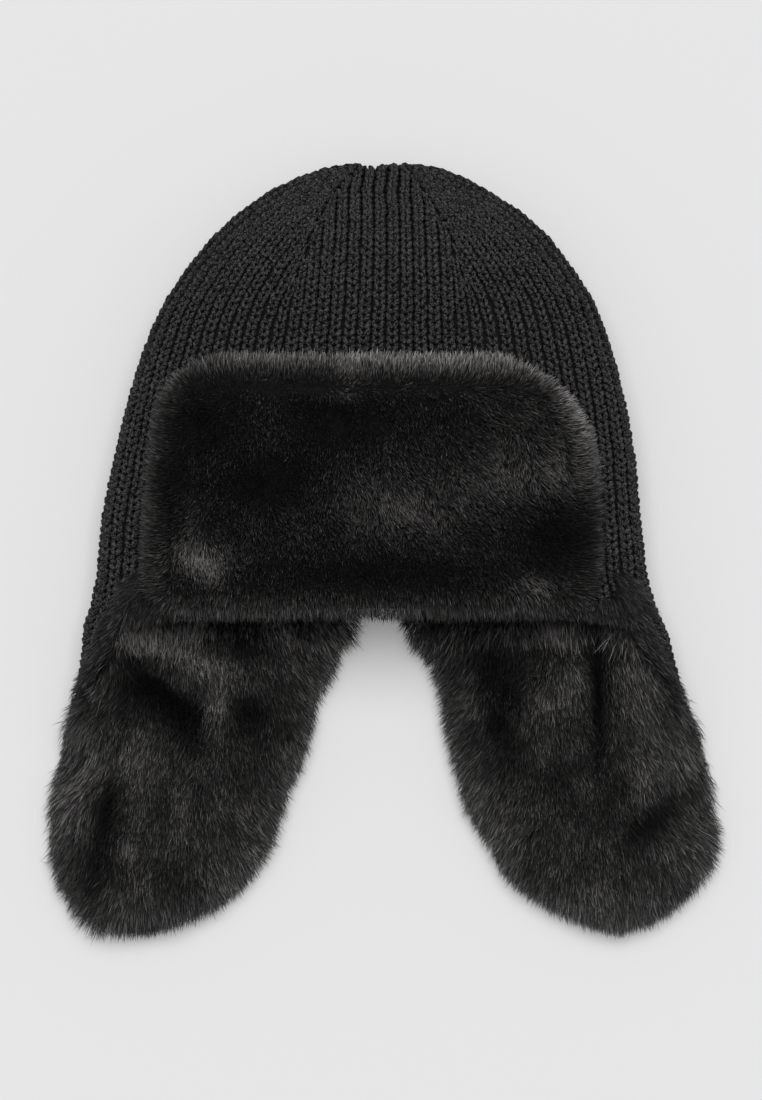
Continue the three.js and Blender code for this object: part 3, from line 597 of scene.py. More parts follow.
def top_stitches():
    """Spots round the top's narrow end, where the drawn yarn gathers the ribs in two rings."""
    places, ways, normals = [], [], []
    middle_z = CROWN_ROWS["tall"][0] * CROWN_TALL / 2
    for reach, count in TOP_RINGS:
        for k in range(count):
            angle = 2 * math.pi * (k + 0.5) / count
            x, z = math.sin(angle) * TOP_WIDE * reach, math.cos(angle) * TOP_DEEP * reach
            sunk = NOTCH_DEEP * math.exp(-(((x + 3.5) / 3.5) ** 2)) + 1.5 * reach * reach
            places.append((x - 0.5, TOP_Y + 0.9 - sunk, middle_z + z))
            ways.append(unit(np.array([x, -2.0, z])))
            normals.append((0.2 * math.sin(angle), 0.95, 0.25 * math.cos(angle)))
    ways = np.array(ways)
    sizes = np.tile([TOP_STITCH_WIDE, ROW_TALL], (len(places), 1))
    return np.concatenate([places, ways, squared(np.array(normals), ways), sizes], axis=1)


crown_stitches = np.concatenate([rib_stitches(), top_stitches()])
stitch_x, stitch_y, stitch_up = crown_stitches[:, [0, 1, 8]].T
# The visor covers the middle of the front, and the wall there is left bare under it.
covered = (stitch_up > 0.35) & (np.abs(stitch_x + 1.5) < 84) & (stitch_y < 2)
behind = stitch_up < -0.25
in_front = ~behind & ~covered
for name, wanted, sides, seed, leg in (
    ("crown_stitches_left", in_front & (stitch_x < 0), 5, 11, LEG),
    ("crown_stitches_right", in_front & (stitch_x >= 0), 5, 12, LEG),
    ("crown_stitches_back", behind, 4, 13, LEG[[0, 2, 3, 4]]),
):
    piece = new_piece(name, stitches(name, crown_stitches[wanted], sides, seed, leg), yarn)
    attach(piece, "root")

# Ear flaps: the same rib, worked on from the hem of the crown. Each leaves the hem in the
# curl of the crown's side and opens out flat, with its outside down on the table.
FLAP_LONG = 147
FLAP_WALL = 3.4
FLAP_REACH = 152
FLAP_FRONT = 0.205  # where it meets the hem, as shares of the way round from the front
FLAP_NAPE = 0.485
CURL_ENDS = 0.5  # share of its length at which it lies flat
FUR_OVERHANG = 9
SEAT = 0.3
FUR_SEAT = 0.5
FLAP_RIBS = 19
FLAP_NET = (FLAP_RIBS * 6, 44)
SIDES = ((-1, "left"), (1, "right"))
KNIT_END = (FLAP_LONG - FUR_OVERHANG) / FLAP_LONG
# Outline of the two flaps seen from above, as shares of FLAP_REACH from the middle line.
FLAP_ROWS = rows_of(
    "down leftOut leftIn rightIn rightOut",
    (0, 0.857, 0.03, 0.02, 0.812),
    (0.045, 0.874, 0.07, 0.06, 0.832),
    (0.09, 0.88, 0.108, 0.096, 0.85),
    (0.18, 0.888, 0.132, 0.148, 0.871),
    (0.27, 0.903, 0.18, 0.181, 0.892),
    (0.36, 0.93, 0.201, 0.19, 0.933),
    (0.45, 0.948, 0.225, 0.213, 0.957),
    (0.54, 0.968, 0.269, 0.231, 0.985),
    (0.63, 0.986, 0.293, 0.258, 0.97),
    (0.72, 0.989, 0.323, 0.311, 0.99),
    (0.81, 0.976, 0.367, 0.352, 0.975),
    (0.87, 0.954, 0.411, 0.405, 0.945),
    (0.92, 0.915, 0.465, 0.471, 0.902),
    (0.965, 0.855, 0.55, 0.56, 0.832),
    (1, 0.76, 0.665, 0.652, 0.742),
)
FLAP_DOWN = np.linspace(0, 1, 101)
FLAP_ALONG = np.linspace(-0.1, 1.1, 97)
HEM_HALF = float(half_round(1.0))


def flap_edges(side, down):
    """x of a flap's inner and outer edge."""
    word = "left" if side < 0 else "right"
    return [side * read(FLAP_ROWS, down, word + edge) * FLAP_REACH for edge in ("In", "Out")]


def flap_bent(side, down, share):
    opened = smooth(0, CURL_ENDS, down)
    inner, outer = flap_edges(side, down)
    held = np.clip(share, 0, 1)
    around = FLAP_NAPE + (FLAP_FRONT - FLAP_NAPE) * held
    hem, _ = on_crown(np.ones_like(held), side * around * 2 * HEM_HALF)
    bent_x = hem[..., 0] + (share - held) * (outer - inner)
    flat_x = inner + (outer - inner) * share
    return bent_x * (1 - opened) + flat_x * opened, hem[..., 2] * (1 - opened)


def flap_grid(side):
    """Outer face of a flap's knit and its normal towards the fur, by down and along."""
    down, along = np.meshgrid(FLAP_DOWN, FLAP_ALONG, indexing="ij")
    probe_down, probe = np.meshgrid(FLAP_DOWN, np.linspace(0, 1, 21), indexing="ij")

    def place(shift):
        x, z = flap_bent(side, down, along + shift)
        probe_x, _ = flap_bent(side, probe_down, probe)
        widest = (side * probe_x).max(axis=1)
        first = probe_x[:, 0]
        inner, outer = flap_edges(side, FLAP_DOWN)
        stretch = (outer - inner) / (side * widest - first)
        stretch[0] = 1
        start = np.where(FLAP_DOWN > 0, inner, first)
        x = start[:, None] + (x - first[:, None]) * stretch[:, None]
        return np.stack([x, HEM_Y - SEAT - down * FLAP_LONG, z], axis=-1)

    before, after = place(-0.02), place(0.02)
    step = after - before
    normal = side * np.stack([-step[..., 2], np.zeros_like(down), step[..., 0]], axis=-1)
    return np.concatenate([place(0), unit(normal)], axis=-1)


FLAP_GRIDS = {-1: flap_grid(-1), 1: flap_grid(1)}


def on_flap(side, down, along, rise):
    row = down / (FLAP_DOWN[1] - FLAP_DOWN[0])
    column = (along - FLAP_ALONG[0]) / (FLAP_ALONG[1] - FLAP_ALONG[0])
    found = sample(FLAP_GRIDS[side], row, column)
    return found[..., :3] + found[..., 3:] * np.asarray(rise)[..., None], found[..., 3:]


def flap_span(side, down):
    """Where the knit begins and ends across a flap, as shares of its outline, how much of
    its outer edge is bare of fur, and the outline's width."""
    own = np.minimum(1, down / KNIT_END)
    inner, outer = np.abs(flap_edges(side, down))
    wide = outer - inner
    own_in, own_out = np.abs(flap_edges(side, own))
    middle = (own_in + own_out) / 2
    half = own_out - middle
    knit_half = half * half / (half + FUR_OVERHANG)
    bare = 1 - smooth(0.25, CURL_ENDS, down)
    knit_to = (middle + knit_half - inner) / wide
    return {
        "from": (middle - knit_half - inner) / wide,
        "to": knit_to + (1 - knit_to) * bare,
        "bare": bare,
        "wide": wide,
    }


def closed_sheet(name, net_size, place):
    """A grid extruded into a closed body. place turns (across, down, layer) into places."""
    bm = bmesh.new()
    bmesh.ops.create_grid(bm, x_segments=net_size[0], y_segments=net_size[1], size=1)
    made = bmesh.ops.extrude_face_region(bm, geom=bm.faces[:])
    upper = [v for v in made["geom"] if isinstance(v, bmesh.types.BMVert)]
    bmesh.ops.translate(bm, vec=(0, 0, 1), verts=upper)
    mesh = mesh_from(name, bm)
    net = read_places(mesh)
    write_places(mesh, place(net[:, 0], (1 - net[:, 1]) / 2, net[:, 2]))
    return turn_out(mesh)


def curled(normals):
    """1 where a flap's outside is in the curl and shows, 0 where it lies on the table."""
    return smooth(-0.97, -0.85, normals[:, 2])


def flap_wall(side, across, down, layer):
    """A place on the ribbed wall, which leaves room for stitches where they show."""
    down = down * KNIT_END
    span = flap_span(side, down)
    along = span["from"] + (span["to"] - span["from"]) * (across + 1) / 2
    wave = WALL_WAVE / 2 * (1 + np.cos(math.pi * FLAP_RIBS * (across + 1)))
    _, inwards = on_flap(side, down, along, np.zeros_like(down))
    rise = np.where(layer > 0.5, FLAP_WALL, YARN_SUNK * curled(-inwards) + wave)
    places, _ = on_flap(side, down, along, rise)
    places[:, 2] = np.maximum(places[:, 2], TABLE_GAP)
    return places


def flap_stitches(side):
    """Spots of a flap's stitches. Ribs run down the flap, and normals point outwards."""
    across = (np.arange(FLAP_RIBS) + 0.5) / FLAP_RIBS
    down = (np.arange(0.5, KNIT_END * FLAP_LONG / ROW_TALL - 0.6, 1.0) * ROW_TALL) / FLAP_LONG
    across, down = (values.ravel() for values in np.meshgrid(across, down))

    def place(d, a):
        span = flap_span(side, d)
        return on_flap(side, d, span["from"] + (span["to"] - span["from"]) * a, np.zeros_like(d))

    places, normals = place(down, across)
    below, _ = place(down + 0.01, across)
    beside, _ = place(down, across + 0.5 / FLAP_RIBS)
    wide = 2 * np.linalg.norm(beside - places, axis=1)
    tall = np.full(len(places), ROW_TALL)
    spots = np.column_stack([places, unit(below - places), -normals, wide, tall])
    return spots[curled(-normals) > 0.01]


for side, word in SIDES:
    name = f"ear_flap_{word}_knit"
    wall = closed_sheet(name, FLAP_NET, partial(flap_wall, side))
    flap_knit = new_piece(name, wall, painted_shade_yarn)
    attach(flap_knit, "root")
    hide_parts(f"ear_flap_{word}")
    name = f"ear_flap_{word}_stitches"
    flap_yarn = new_piece(name, stitches(name, flap_stitches(side), 5, 20 + side), yarn)
    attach(flap_yarn, "root")

# Ear furs: deep black faux fur on a knitted backing, sewn to the inside of each flap round
# its edge. The pile lies down and outwards, is pressed flat in creases, and stands out past
# the knit. It is a dense under-pile with single hairs grown on it.
BACKING = 1.5
EAR_PILE = 12
EAR_NET = (44, 54)
EAR_GRID = (120, 90)  # rows and columns of the grid that its hairs grow on
FUR_POWER = 3.2  # 2 makes the pile's section an ellipse, more makes it boxier
UNDER_SHARE = 0.45  # height of the under-pile, as a share of the whole pile
UNDER_INSET = 6
HAIR_WIDE = 0.28
LOCK_HAIRS = 18  # hairs that draw together in one small lock
STRAY_SHARE = 0.005
KNEE = 0.64  # where a hair bends, as a share of its length
KNEE_PULL = 0.35  # how far its knee follows its tip into the lock
# HAIR_TONES paint each hair dark at the root, as painted shade, and pale at the tip, as painted
# sheen.
HAIR_TONES = np.array([0.06, 0.62, 0.62, 1.15])  # root, both sides of the knee, and tip
TONE_PALEST = 1.5  # tone of the fur's palest colour
FUR_ROWS = rows_of(
    "down thick",
    (0, 0.8),
    (0.035, 0.92),
    (0.08, 1),
    (0.72, 1),
    (0.81, 0.98),
    (0.88, 0.92),
    (KNIT_END, 0.76),
    (0.975, 0.34),
)
# Creases and swellings: the middle, the reach along and across, the turn and the rise.
DENT_COLUMNS = "x y long wide turn rise"
EAR_DENTS = {
    -1: rows_of(
        DENT_COLUMNS,
        (-102, -124, 27, 5, -26, -6),
        (-88, -112, 30, 6, -26, 3),
        (-93, -139, 13, 10, -30, -3),
        (-57, -153, 24, 7, 80, -4),
        (-73, -150, 18, 5, 80, 2),
        (-125, -180, 26, 4, 75, -3),
    ),
    1: rows_of(
        DENT_COLUMNS,
        (99, -133, 25, 5, 90, -6),
        (56, -125, 20, 6, -30, -5),
        (49, -155, 13, 7, 80, -3.5),
        (132, -175, 14, 5, 45, -3.5),
        (78, -138, 16, 9, 60, 2),
    ),
}
# Patches where the pile stands up and looks into its dark depth, or lies down and shines.
# lay adds degrees of lean; shine scales the colour of the hairs, painted highlight above 0 and
# painted shade below 0.
PATCH_COLUMNS = "x y long wide turn lay shine"
EAR_PATCHES = {
    -1: rows_of(
        PATCH_COLUMNS,
        (-99, -136, 27, 10, -41, -34, -0.75),
        (-59, -144, 14, 10, 100, -28, -0.6),
        (-123, -184, 34, 6, 80, -28, -0.6),
        (-74, -143, 16, 5, 85, 16, 0.6),
        (-114, -163, 14, 12, 0, 12, 0.6),
        (-138, -172, 24, 6, 75, 10, 0.15),
        (-92, -113, 30, 6, -24, 16, 0.8),
        (-62, -108, 16, 7, 0, -20, -0.4),
        (-113, -204, 4, 4, 0, 10, 0.8),
        (-80, -190, 14, 9, -60, 5, 0.3),
    ),
    1: rows_of(
        PATCH_COLUMNS,
        (49, -121, 16, 10, -40, -26, -0.5),
        (99, -131, 32, 5, 90, -34, -0.75),
        (53, -150, 15, 9, 100, -26, -0.6),
        (122, -192, 17, 7, 45, -24, -0.55),
        (79, -105, 14, 5, 0, 14, 0.7),
        (84, -132, 14, 8, 60, 14, 0.6),
        (118, -130, 26, 9, -70, 12, 0.3),
        (127, -166, 12, 9, 0, 12, 0.2),
        (41, -135, 18, 4, -70, 10, 0.5),
        (76, -172, 14, 9, 30, -10, -0.25),
    ),
}
# Where the pile reaches further past the edge than elsewhere, as a share of its length.
EAR_LONGER = {
    -1: rows_of(DENT_COLUMNS, (-126, -228, 14, 12, 0, 0.5)),
    1: rows_of(DENT_COLUMNS, (148, -182, 24, 12, 90, 0.35)),
}


def felt(spots, column, x, y):
    """A column of a table of spots summed at (x, y), each felt in full only in its middle."""
    turn = np.radians(spots["turn"])[:, None]
    off_x, off_y = x[None] - spots["x"][:, None], y[None] - spots["y"][:, None]
    along = (off_x * np.cos(turn) + off_y * np.sin(turn)) / spots["long"][:, None]
    across = (off_y * np.cos(turn) - off_x * np.sin(turn)) / spots["wide"][:, None]
    return (spots[column][:, None] * np.exp(-(along**2) - across**2)).sum(axis=0)


def wander(x, y, scale, seed):
    """Smooth noise from -1 to 1 with lumps of that size."""
    rng = np.random.default_rng(seed)
    grid = rng.uniform(-1, 1, (64, 64, 1))
    row, column = (
        np.floor(place) + smooth(0, 1, place - np.floor(place))
        for place in ((y / scale) % 62, (x / scale) % 62)
    )
    return sample(grid, row, column)[..., 0]


# Fine black acrylic fibre. Its colour, set by "tone", is painted dark at the root, as painted
# shade deep in the pile, and paler towards the tip, as painted sheen.
fur = new_material("black_faux_fur")
fur_shades = ramp(
    fur,
    attribute(fur, "tone"),
    [(0, "#080808"), (0.33, "#3a3938"), (0.67, "#868382"), (1, "#c8c5c3")],
)
finish_material(fur, {"Base Color": fur_shades, "Roughness": 0.42, "Specular IOR Level": 0.45})

# The pile below the tips is dense, dull and slightly uneven.
under_pile = new_material("dense_under_pile")
under_noise = noise(under_pile, 1.2, 3.0)
finish_material(
    under_pile,
    {
        "Base Color": ramp(under_pile, under_noise, [(0, "#151515"), (1, "#302f2f")]),
        "Roughness": 1.0,
        "Specular IOR Level": 0.0,
        "Normal": bump(under_pile, under_noise, 0.8, 1.0),
    },
)


def grow_on(grid, count, rng):
    """Even random roots on a surface grid[rows, columns, 3], with its normals."""
    down_step, across_step = np.gradient(grid, axis=0), np.gradient(grid, axis=1)
    normal = unit(np.cross(down_step, across_step))
    if normal[..., 2].mean() < 0:
        normal = -normal
    sides = np.cross(grid[1:, :-1] - grid[:-1, :-1], grid[:-1, 1:] - grid[:-1, :-1])
    area = np.linalg.norm(sides, axis=-1).ravel()
    cell = rng.choice(len(area), count, p=area / area.sum())
    row = cell // (grid.shape[1] - 1) + rng.random(count)
    column = cell % (grid.shape[1] - 1) + rng.random(count)
    return sample(grid, row, column), unit(sample(normal, row, column))


def hairs(name, roots, normals, flow, lean, long, shine, together, spread, seed):
    """Flat tapering hairs. flow is the way they lie, lean their angle from the normal, and
    together how much the tips of a lock draw together. spread is how far their tones differ."""
    rng = np.random.default_rng(seed)
    count = len(roots)
    flow = squared(unit(flow) + rng.normal(0, 0.16, (count, 3)), normals)
    # Hairs draw together in little locks, towards the tip of the nearest leading hair.
    leaders = rng.choice(count, count // LOCK_HAIRS, replace=False)
    tree = kdtree.KDTree(len(leaders))
    for place, leader in enumerate(leaders):
        tree.insert(roots[leader], place)
    tree.balance()
    nearest = leaders[np.array([tree.find(root)[1] for root in roots])]
    lean = np.clip(lean + rng.normal(0, 11, count), 2, 105)
    # A few stray hairs lie across the others and catch the light.
    stray = rng.random(count) < STRAY_SHARE
    flow = np.where(stray[:, None], unit(flow + rng.normal(0, 0.8, (count, 3))), flow)
    lean = np.where(stray, lean + 18, lean)

    def step(share):
        angle = np.radians(lean * share)[:, None]
        return (normals * np.cos(angle) + flow * np.sin(angle)) * long[:, None]

    # Above its knee a hair leans further over.
    middle = roots + KNEE * step(0.84)
    tip = middle + (1 - KNEE) * step(1.28)
    pull = (together * rng.uniform(0.2, 1, count) * ~stray)[:, None]
    tip = tip + (tip[nearest] - tip) * pull
    middle = middle + (middle[nearest] - middle) * pull * KNEE_PULL
    way = unit(tip - roots)
    flat = unit(np.cross(way, normals + flow * 0.01))
    rise = np.cross(flat, way)
    roll = rng.normal(0, 0.8, count)[:, None]
    edge = flat * np.cos(roll) + rise * np.sin(roll)
    wide = HAIR_WIDE * rng.uniform(0.75, 1.2, count)[:, None] / 2
    made = np.stack([roots, middle - edge * wide, middle + edge * wide, tip], axis=1)
    made[..., 2] = np.maximum(made[..., 2], 0.3)
    faces = np.array([(0, 2, 1), (1, 2, 3)])
    cell = np.array([(0.5, 0.05), (0.1, 0.5), (0.9, 0.5), (0.5, 0.95)])
    own = shine * np.minimum(2.0, np.exp(rng.normal(-spread * spread / 2, spread, count)))
    # Stray hairs are painted paler as well: a painted glint.
    own = (own + 0.25 * stray)[:, None]
    tone = np.clip(own * HAIR_TONES / TONE_PALEST, 0, 1)
    return mesh_of(name, roots, made, faces, cell, tone)


def rounded(across):
    """Height of a rounded profile over across, from 1 in its middle to 0 at its edges."""
    return (1 - np.minimum(1, np.abs(across)) ** FUR_POWER) ** (1 / FUR_POWER)


def eased(across):
    """Evenly numbered columns drawn towards the edges, where a rounded profile falls."""
    bent = -np.cos(math.pi * (across + 1) / 2)
    return np.sign(bent) * np.abs(bent) ** (2 / FUR_POWER)


def ear_under(side, across, down, layer):
    """A place on the under-pile of an ear fur: layer 0 is its backing, 1 its top."""
    across = eased(across)
    own_in, own_out = np.abs(flap_edges(side, down))
    down = down * (1 - UNDER_INSET / FLAP_LONG)
    span = flap_span(side, down)
    wide = span["wide"]
    inner, _ = np.abs(flap_edges(side, down))
    half = (own_out - own_in) / 2
    under_half = half * half / (half + UNDER_INSET)
    middle = (own_in + own_out) / 2
    start = (middle - under_half - inner) / wide
    end = (middle + under_half - inner) / wide
    end = end + (1 - 3 / wide - end) * span["bare"]
    along = start + (end - start) * (across + 1) / 2
    flat, _ = on_flap(side, down, along, np.zeros_like(down))
    dented = felt(EAR_DENTS[side], "rise", flat[:, 0], flat[:, 1])
    pile = np.maximum(5, EAR_PILE + dented) * read(FUR_ROWS, down, "thick")
    top = BACKING + np.maximum(0.5, pile * UNDER_SHARE * rounded(across))
    places, _ = on_flap(side, down, along, FLAP_WALL + FUR_SEAT + np.where(layer > 0.5, top, 0))
    return places


def surface(place, rows, columns):
    """The top of an under-pile as a grid of places."""
    across, down = np.meshgrid(np.linspace(-1, 1, columns), np.linspace(0, 1, rows))
    flat = place(across.ravel(), down.ravel(), np.ones(across.size))
    return flat.reshape(rows, columns, 3)


def patched(spots, x, y, lean, shine):
    shine = shine * np.clip(1 + felt(spots, "shine", x, y), 0.2, 2.5)
    return lean + felt(spots, "lay", x, y), shine


def crown_front(x, y):
    """Height of the crown's front face."""
    down = np.clip((TOP_Y - y) / CROWN_LONG, 0, 1)
    half_wide, tall, half_tall = crown_section(down)
    lean = read(CROWN_ROWS, down, "lean") * CROWN_WIDE
    off = np.minimum(0.995, np.abs((x - lean) / half_wide))
    return tall - half_tall + half_tall * (1 - off**SECTION_POWER) ** (1 / SECTION_POWER)


EAR_HAIRS = 82000
CORNER_HAIRS = 2600
CURL_HAIRS = 9000
SEAM_HAIRS = 4200


def front_fringe(side, rng):
    """Roots, normals and flow of the pile that spills over the front edge of the knit, from
    the lower corner of the crown down the curl of the flap."""
    # On the crown, left or right of the visor's lower corner.
    share, drop = rng.random(CORNER_HAIRS), rng.random(CORNER_HAIRS)
    y = -77 - 16.5 * drop
    x = side * (103 + (6 + 10 * drop) * share)
    step = 0.5
    height = crown_front(x, y) - 0.5
    slope_x = (crown_front(x + step, y) - crown_front(x - step, y)) / (2 * step)
    slope_y = (crown_front(x, y + step) - crown_front(x, y - step)) / (2 * step)
    roots = [np.stack([x, y, height], axis=1)]
    normals = [unit(np.stack([-slope_x, -slope_y, np.ones_like(x)], axis=1))]
    # On the outside of the flap, from its front edge to a line that runs down and outwards.
    down, along = 0.4 * rng.random(CURL_HAIRS), rng.uniform(0.5, 1.0, CURL_HAIRS)
    place, inwards = on_flap(side, down, along, np.full(len(down), -0.3))
    line = np.interp(down, [0, 0.1, 0.2, 0.4], [116, 117, 120, 130])
    kept = (inwards[:, 2] < -0.15) & (np.abs(place[:, 0]) < line)
    roots.append(place[kept])
    normals.append(-inwards[kept])
    # Along the edge itself, where the backing is sewn to the knit.
    down, along = 0.5 * rng.random(SEAM_HAIRS), rng.uniform(0.94, 1.0, SEAM_HAIRS)
    place, inwards = on_flap(side, down, along, rng.uniform(0, FLAP_WALL + 3, SEAM_HAIRS))
    roots.append(place)
    normals.append(unit(-inwards + [0.0, 0.0, 1.0]))
    roots, normals = np.concatenate(roots), np.concatenate(normals)
    return roots, normals, np.tile([side * 0.8, -0.75, 0.0], (len(roots), 1))


def joined(first, second):
    """Two sets of hairs as one: roots, normals, flow, lean, long and shine of both."""
    return [np.concatenate(pair) for pair in zip(first, second)]


for side, word in SIDES:
    name = f"ear_fur_{word}_pile"
    place = partial(ear_under, side)
    pile = new_piece(name, closed_sheet(name, EAR_NET, place), under_pile)
    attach(pile, "root")
    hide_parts(f"ear_fur_{word}")
    rng = np.random.default_rng(30 + side)
    roots, normals = grow_on(surface(place, *EAR_GRID), EAR_HAIRS, rng)
    x, y = roots[:, 0], roots[:, 1]
    down = (HEM_Y - SEAT - y) / FLAP_LONG
    inner, outer = flap_edges(side, down)
    middle = (inner + outer) / 2
    off = (x - middle) / (np.abs(outer - inner) / 2)
    flow = np.stack(
        [
            off * 0.9 * np.abs(off) + 0.25 * wander(x, y, 17, 41) + 0.12 * wander(x, y, 5, 42),
            -0.75 - 0.5 * smooth(0.7, 1, down) + 0.25 * wander(x, y, 19, 43),
            np.zeros_like(x),
        ],
        axis=1,
    )
    edge = np.maximum(np.abs(off) ** 3, smooth(0.78, 0.98, down))
    lean = 43 + 31 * edge + 10 * wander(x, y, 12, 44)
    # The hairs' colour differs at random, and towards the edges it is painted a little paler:
    # painted highlight.
    shine = 0.51 + 0.14 * wander(x, y, 9, 45) + 0.06 * edge
    lean, shine = patched(EAR_PATCHES[side], x + 6 * flow[:, 0], y + 6 * flow[:, 1], lean, shine)
    longer = 1 + felt(EAR_LONGER[side], "rise", x, y)
    long = (9 + 3 * np.minimum(1, 1.6 * edge)) * longer * rng.uniform(0.7, 1.15, len(x))
    # Under the visor's edge the pile stands up and fills the step.
    below_visor = 1 - smooth(0.02, 0.11, down)
    lean = lean - 34 * below_visor
    fades = 1 - 0.6 * smooth(0.45, 0.75, np.abs(off))
    # There the hairs are also painted paler: painted highlight that lifts the shade under the
    # visor's edge.
    shine = shine + (0.7 - 0.25 * side) * below_visor * fades
    long = long * (1 + 1.4 * below_visor * (1 - np.minimum(1, np.abs(off)) ** 4))
    # The corners next to the gap under the visor and the lower tip are trimmed short.
    trimmed = np.exp(-(((np.abs(x) - 8) / 10) ** 2) - ((y + 97) / 9) ** 2)
    long = long * (1 - 0.66 * trimmed) * (1 - 0.36 * smooth(0.92, 1.0, down))
    fringe = front_fringe(side, rng)
    count = len(fringe[0])
    fringe_down = (HEM_Y - SEAT - fringe[0][:, 1]) / FLAP_LONG
    fringe_long = 9 * (1 - 0.6 * smooth(0.12, 0.36, fringe_down))
    fringe_lean = rng.normal(58, 8, count)
    fringe_long = fringe_long * rng.uniform(0.7, 1.15, count)
    pelt = joined(
        (roots, normals, flow, lean, long, shine),
        (*fringe, fringe_lean, fringe_long, np.full(count, 0.36)),
    )
    name = f"ear_fur_{word}_hairs"
    coat = new_piece(name, hairs(name, *pelt, 0.17, 0.52, 50 + side), fur)
    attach(coat, "root")

# Front flap: a fur visor on a knitted backing, turned up over the front of the crown and
# tacked to it. Its pile stands towards the eye in the middle, which is why it looks darkest
# there, and lies outwards over all four edges.
VISOR_WIDE = 207
VISOR_LONG = 118
VISOR_BELOW = 5
VISOR_X = -3.5
VISOR_PILE = 14
VISOR_NET = (60, 40)
VISOR_GRID = (90, 130)
VISOR_TOP = HEM_Y - VISOR_BELOW + VISOR_LONG
VISOR_ROWS = rows_of(
    "down left right thick",
    (0, 0.7, 0.6, 0.3),
    (0.03, 0.8, 0.66, 0.62),
    (0.08, 0.88, 0.755, 0.82),
    (0.16, 0.937, 0.86, 0.95),
    (0.29, 0.97, 0.955, 1),
    (0.44, 0.99, 0.99, 1),
    (0.6, 1.005, 1, 1),
    (0.74, 1.015, 1, 1),
    (0.84, 1.02, 0.995, 0.98),
    (0.92, 1.01, 0.975, 0.88),
    (0.97, 0.96, 0.93, 0.66),
    (1, 0.87, 0.85, 0.34),
)
VISOR_UNDER_SHARE = 0.62
VISOR_INSET = 4.5  # from the outline in to the edge of the under-pile
VISOR_DENTS = rows_of(
    DENT_COLUMNS,
    (-74, -21, 22, 20, 0, -3),
    (-21, -3, 16, 9, 0, -2.5),
    (88, -52, 18, 10, 90, -3),
    (-80, -62, 12, 9, 0, 2),
    (8, -40, 18, 10, -20, 1.5),
    (0, -86, 90, 6, 0, 1.5),
)
VISOR_PATCHES = rows_of(
    PATCH_COLUMNS,
    (-77, -10, 18, 14, 0, -20, -0.45),
    (-49, -37, 20, 10, 10, -20, -0.5),
    (-92, -42, 18, 6, 90, -16, -0.4),
    (-20, -9, 18, 15, 0, -18, -0.4),
    (22, -8, 22, 8, 0, -8, -0.2),
    (68, -30, 26, 12, 10, 6, 0.2),
    (78, -62, 20, 16, -20, -18, -0.5),
    (-2, -76, 55, 8, 0, -14, -0.4),
    (-80, -69, 12, 9, -45, 28, 0.7),
    (6, -46, 20, 12, -15, 14, 0.3),
    (-16, 4, 9, 7, 0, 20, 0.5),
    (53, -33, 24, 12, 0, 8, 0.15),
    (66, -82, 8, 5, 0, 20, 0.5),
)


def visor_half(down, side):
    share = np.where(side < 0, read(VISOR_ROWS, down, "left"), read(VISOR_ROWS, down, "right"))
    return share * VISOR_WIDE / 2


def visor_under(across, down, layer):
    """A place on the visor's under-pile: layer 0 is its backing, 1 its top."""
    across = eased(across)
    y = VISOR_TOP - VISOR_INSET - down * (VISOR_LONG - 2 * VISOR_INSET)
    x = VISOR_X + across * (visor_half(down, across) - VISOR_INSET)
    dented = felt(VISOR_DENTS, "rise", x, y)
    pile = (VISOR_PILE + dented) * read(VISOR_ROWS, down, "thick")
    top = BACKING + np.maximum(0.5, pile * VISOR_UNDER_SHARE * rounded(across))
    rise = FUR_SEAT + np.where(layer > 0.5, top, 0)
    return np.stack([x, y, crown_front(x, y) + rise], axis=-1)


visor_body = closed_sheet("front_flap_pile", VISOR_NET, visor_under)
visor = new_piece("front_flap_pile", visor_body, under_pile)
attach(visor, "root")
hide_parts("front_flap")

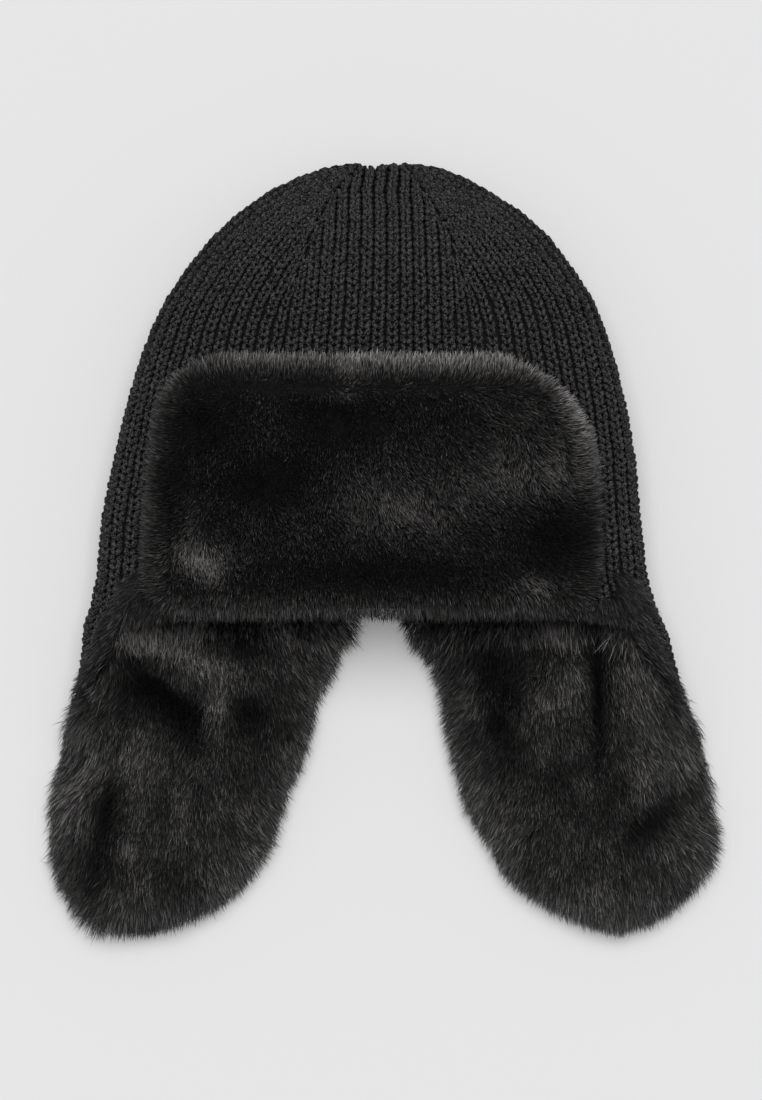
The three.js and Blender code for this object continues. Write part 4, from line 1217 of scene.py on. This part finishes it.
VISOR_HAIRS = 92000
HANGING_HAIRS = 7000
VISOR_EDGE = 13  # width of the edge over which the pile turns from upright to lying outwards
VISOR_LOWER_EDGE = 9
rng = np.random.default_rng(61)
roots, normals = grow_on(surface(visor_under, *VISOR_GRID), VISOR_HAIRS, rng)
x, y = roots[:, 0], roots[:, 1]
visor_down = (VISOR_TOP - y) / VISOR_LONG
to_side = visor_half(visor_down, x - VISOR_X) - np.abs(x - VISOR_X) - VISOR_INSET
to_end = VISOR_LONG / 2 - np.abs(y - (VISOR_TOP - VISOR_LONG / 2)) - VISOR_INSET
near_side = np.clip(1 - to_side / VISOR_EDGE, 0, 1)
near_end = np.clip(1 - to_end / np.where(y < -40, VISOR_LOWER_EDGE, VISOR_EDGE), 0, 1)
near = np.minimum(1, np.hypot(near_side, near_end))
flow = np.stack(
    [
        np.sign(x - VISOR_X) * near_side + 0.1 * wander(x, y, 9, 62) + 0.05,
        np.sign(y + 40) * near_end + 0.45 * near_side * smooth(-95, -30, y) - 0.1 * (1 - near),
        np.zeros_like(x),
    ],
    axis=1,
)
lean = 15 + 62 * near**2 + 4 * wander(x, y, 10, 65)
# Painted light on the visor: its rim is painted darker, and lit paints it paler towards the top
# and right, where the light falls: painted highlight.
shine = 0.66 - 0.16 * smooth(0.5, 1.0, near) + 0.06 * wander(x, y, 12, 66)
lit = smooth(-30, 22, y + 0.22 * x + 10 * wander(x, y, 26, 68))
shine = shine + (0.4 * smooth(0.05, 0.5, near) + 0.32 * smooth(0.4, 0.9, near)) * lit
# Low on both sides and along the lower edge the rim turns under, and there it is painted darker:
# painted shade.
shine = shine - 0.32 * near_side * smooth(-45, -75, y)
shine = shine - (0.14 + 0.12 * smooth(-20, 60, x)) * near_end * smooth(-70, -82, y)
lean, shine = patched(VISOR_PATCHES, x, y, lean, shine)
shorter = near * smooth(-96, -78, y)
long = 7.5 * rng.uniform(0.75 - 0.3 * shorter, 1.2 - 0.2 * shorter)
# At both lower corners its pile hangs over the hem and meets that of the ear furs, and
# along the rest of the lower edge single hairs hang down.
outward = rng.random(HANGING_HAIRS) ** 0.55  # 0 in the middle, 1 at the corners
hang_x = (48 + 64 * outward) * np.where(rng.random(HANGING_HAIRS) < 0.5, -1, 1)
hang_y = rng.uniform(-96, -92.5 + 7 * outward**3, HANGING_HAIRS)
hang_z = crown_front(hang_x, hang_y) + 3 * rng.random(HANGING_HAIRS)
plain = np.ones(HANGING_HAIRS)
hanging = (
    np.stack([hang_x, hang_y, hang_z], axis=1),
    np.tile([0.0, -0.25, 0.97], (HANGING_HAIRS, 1)),
    np.stack([0.35 * np.sign(hang_x), -plain, 0 * plain], axis=1),
    rng.normal(66, 14, HANGING_HAIRS),
    (3 + 8 * outward**3) * rng.uniform(0.6, 1.15, HANGING_HAIRS),
    0.26 * plain,
)
pelt = joined((roots, normals, flow, lean, long, shine), hanging)
made = hairs("front_flap_hairs", *pelt, 0.04, 0.3, 67)
visor_coat = new_piece("front_flap_hairs", made, fur)
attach(visor_coat, "root")
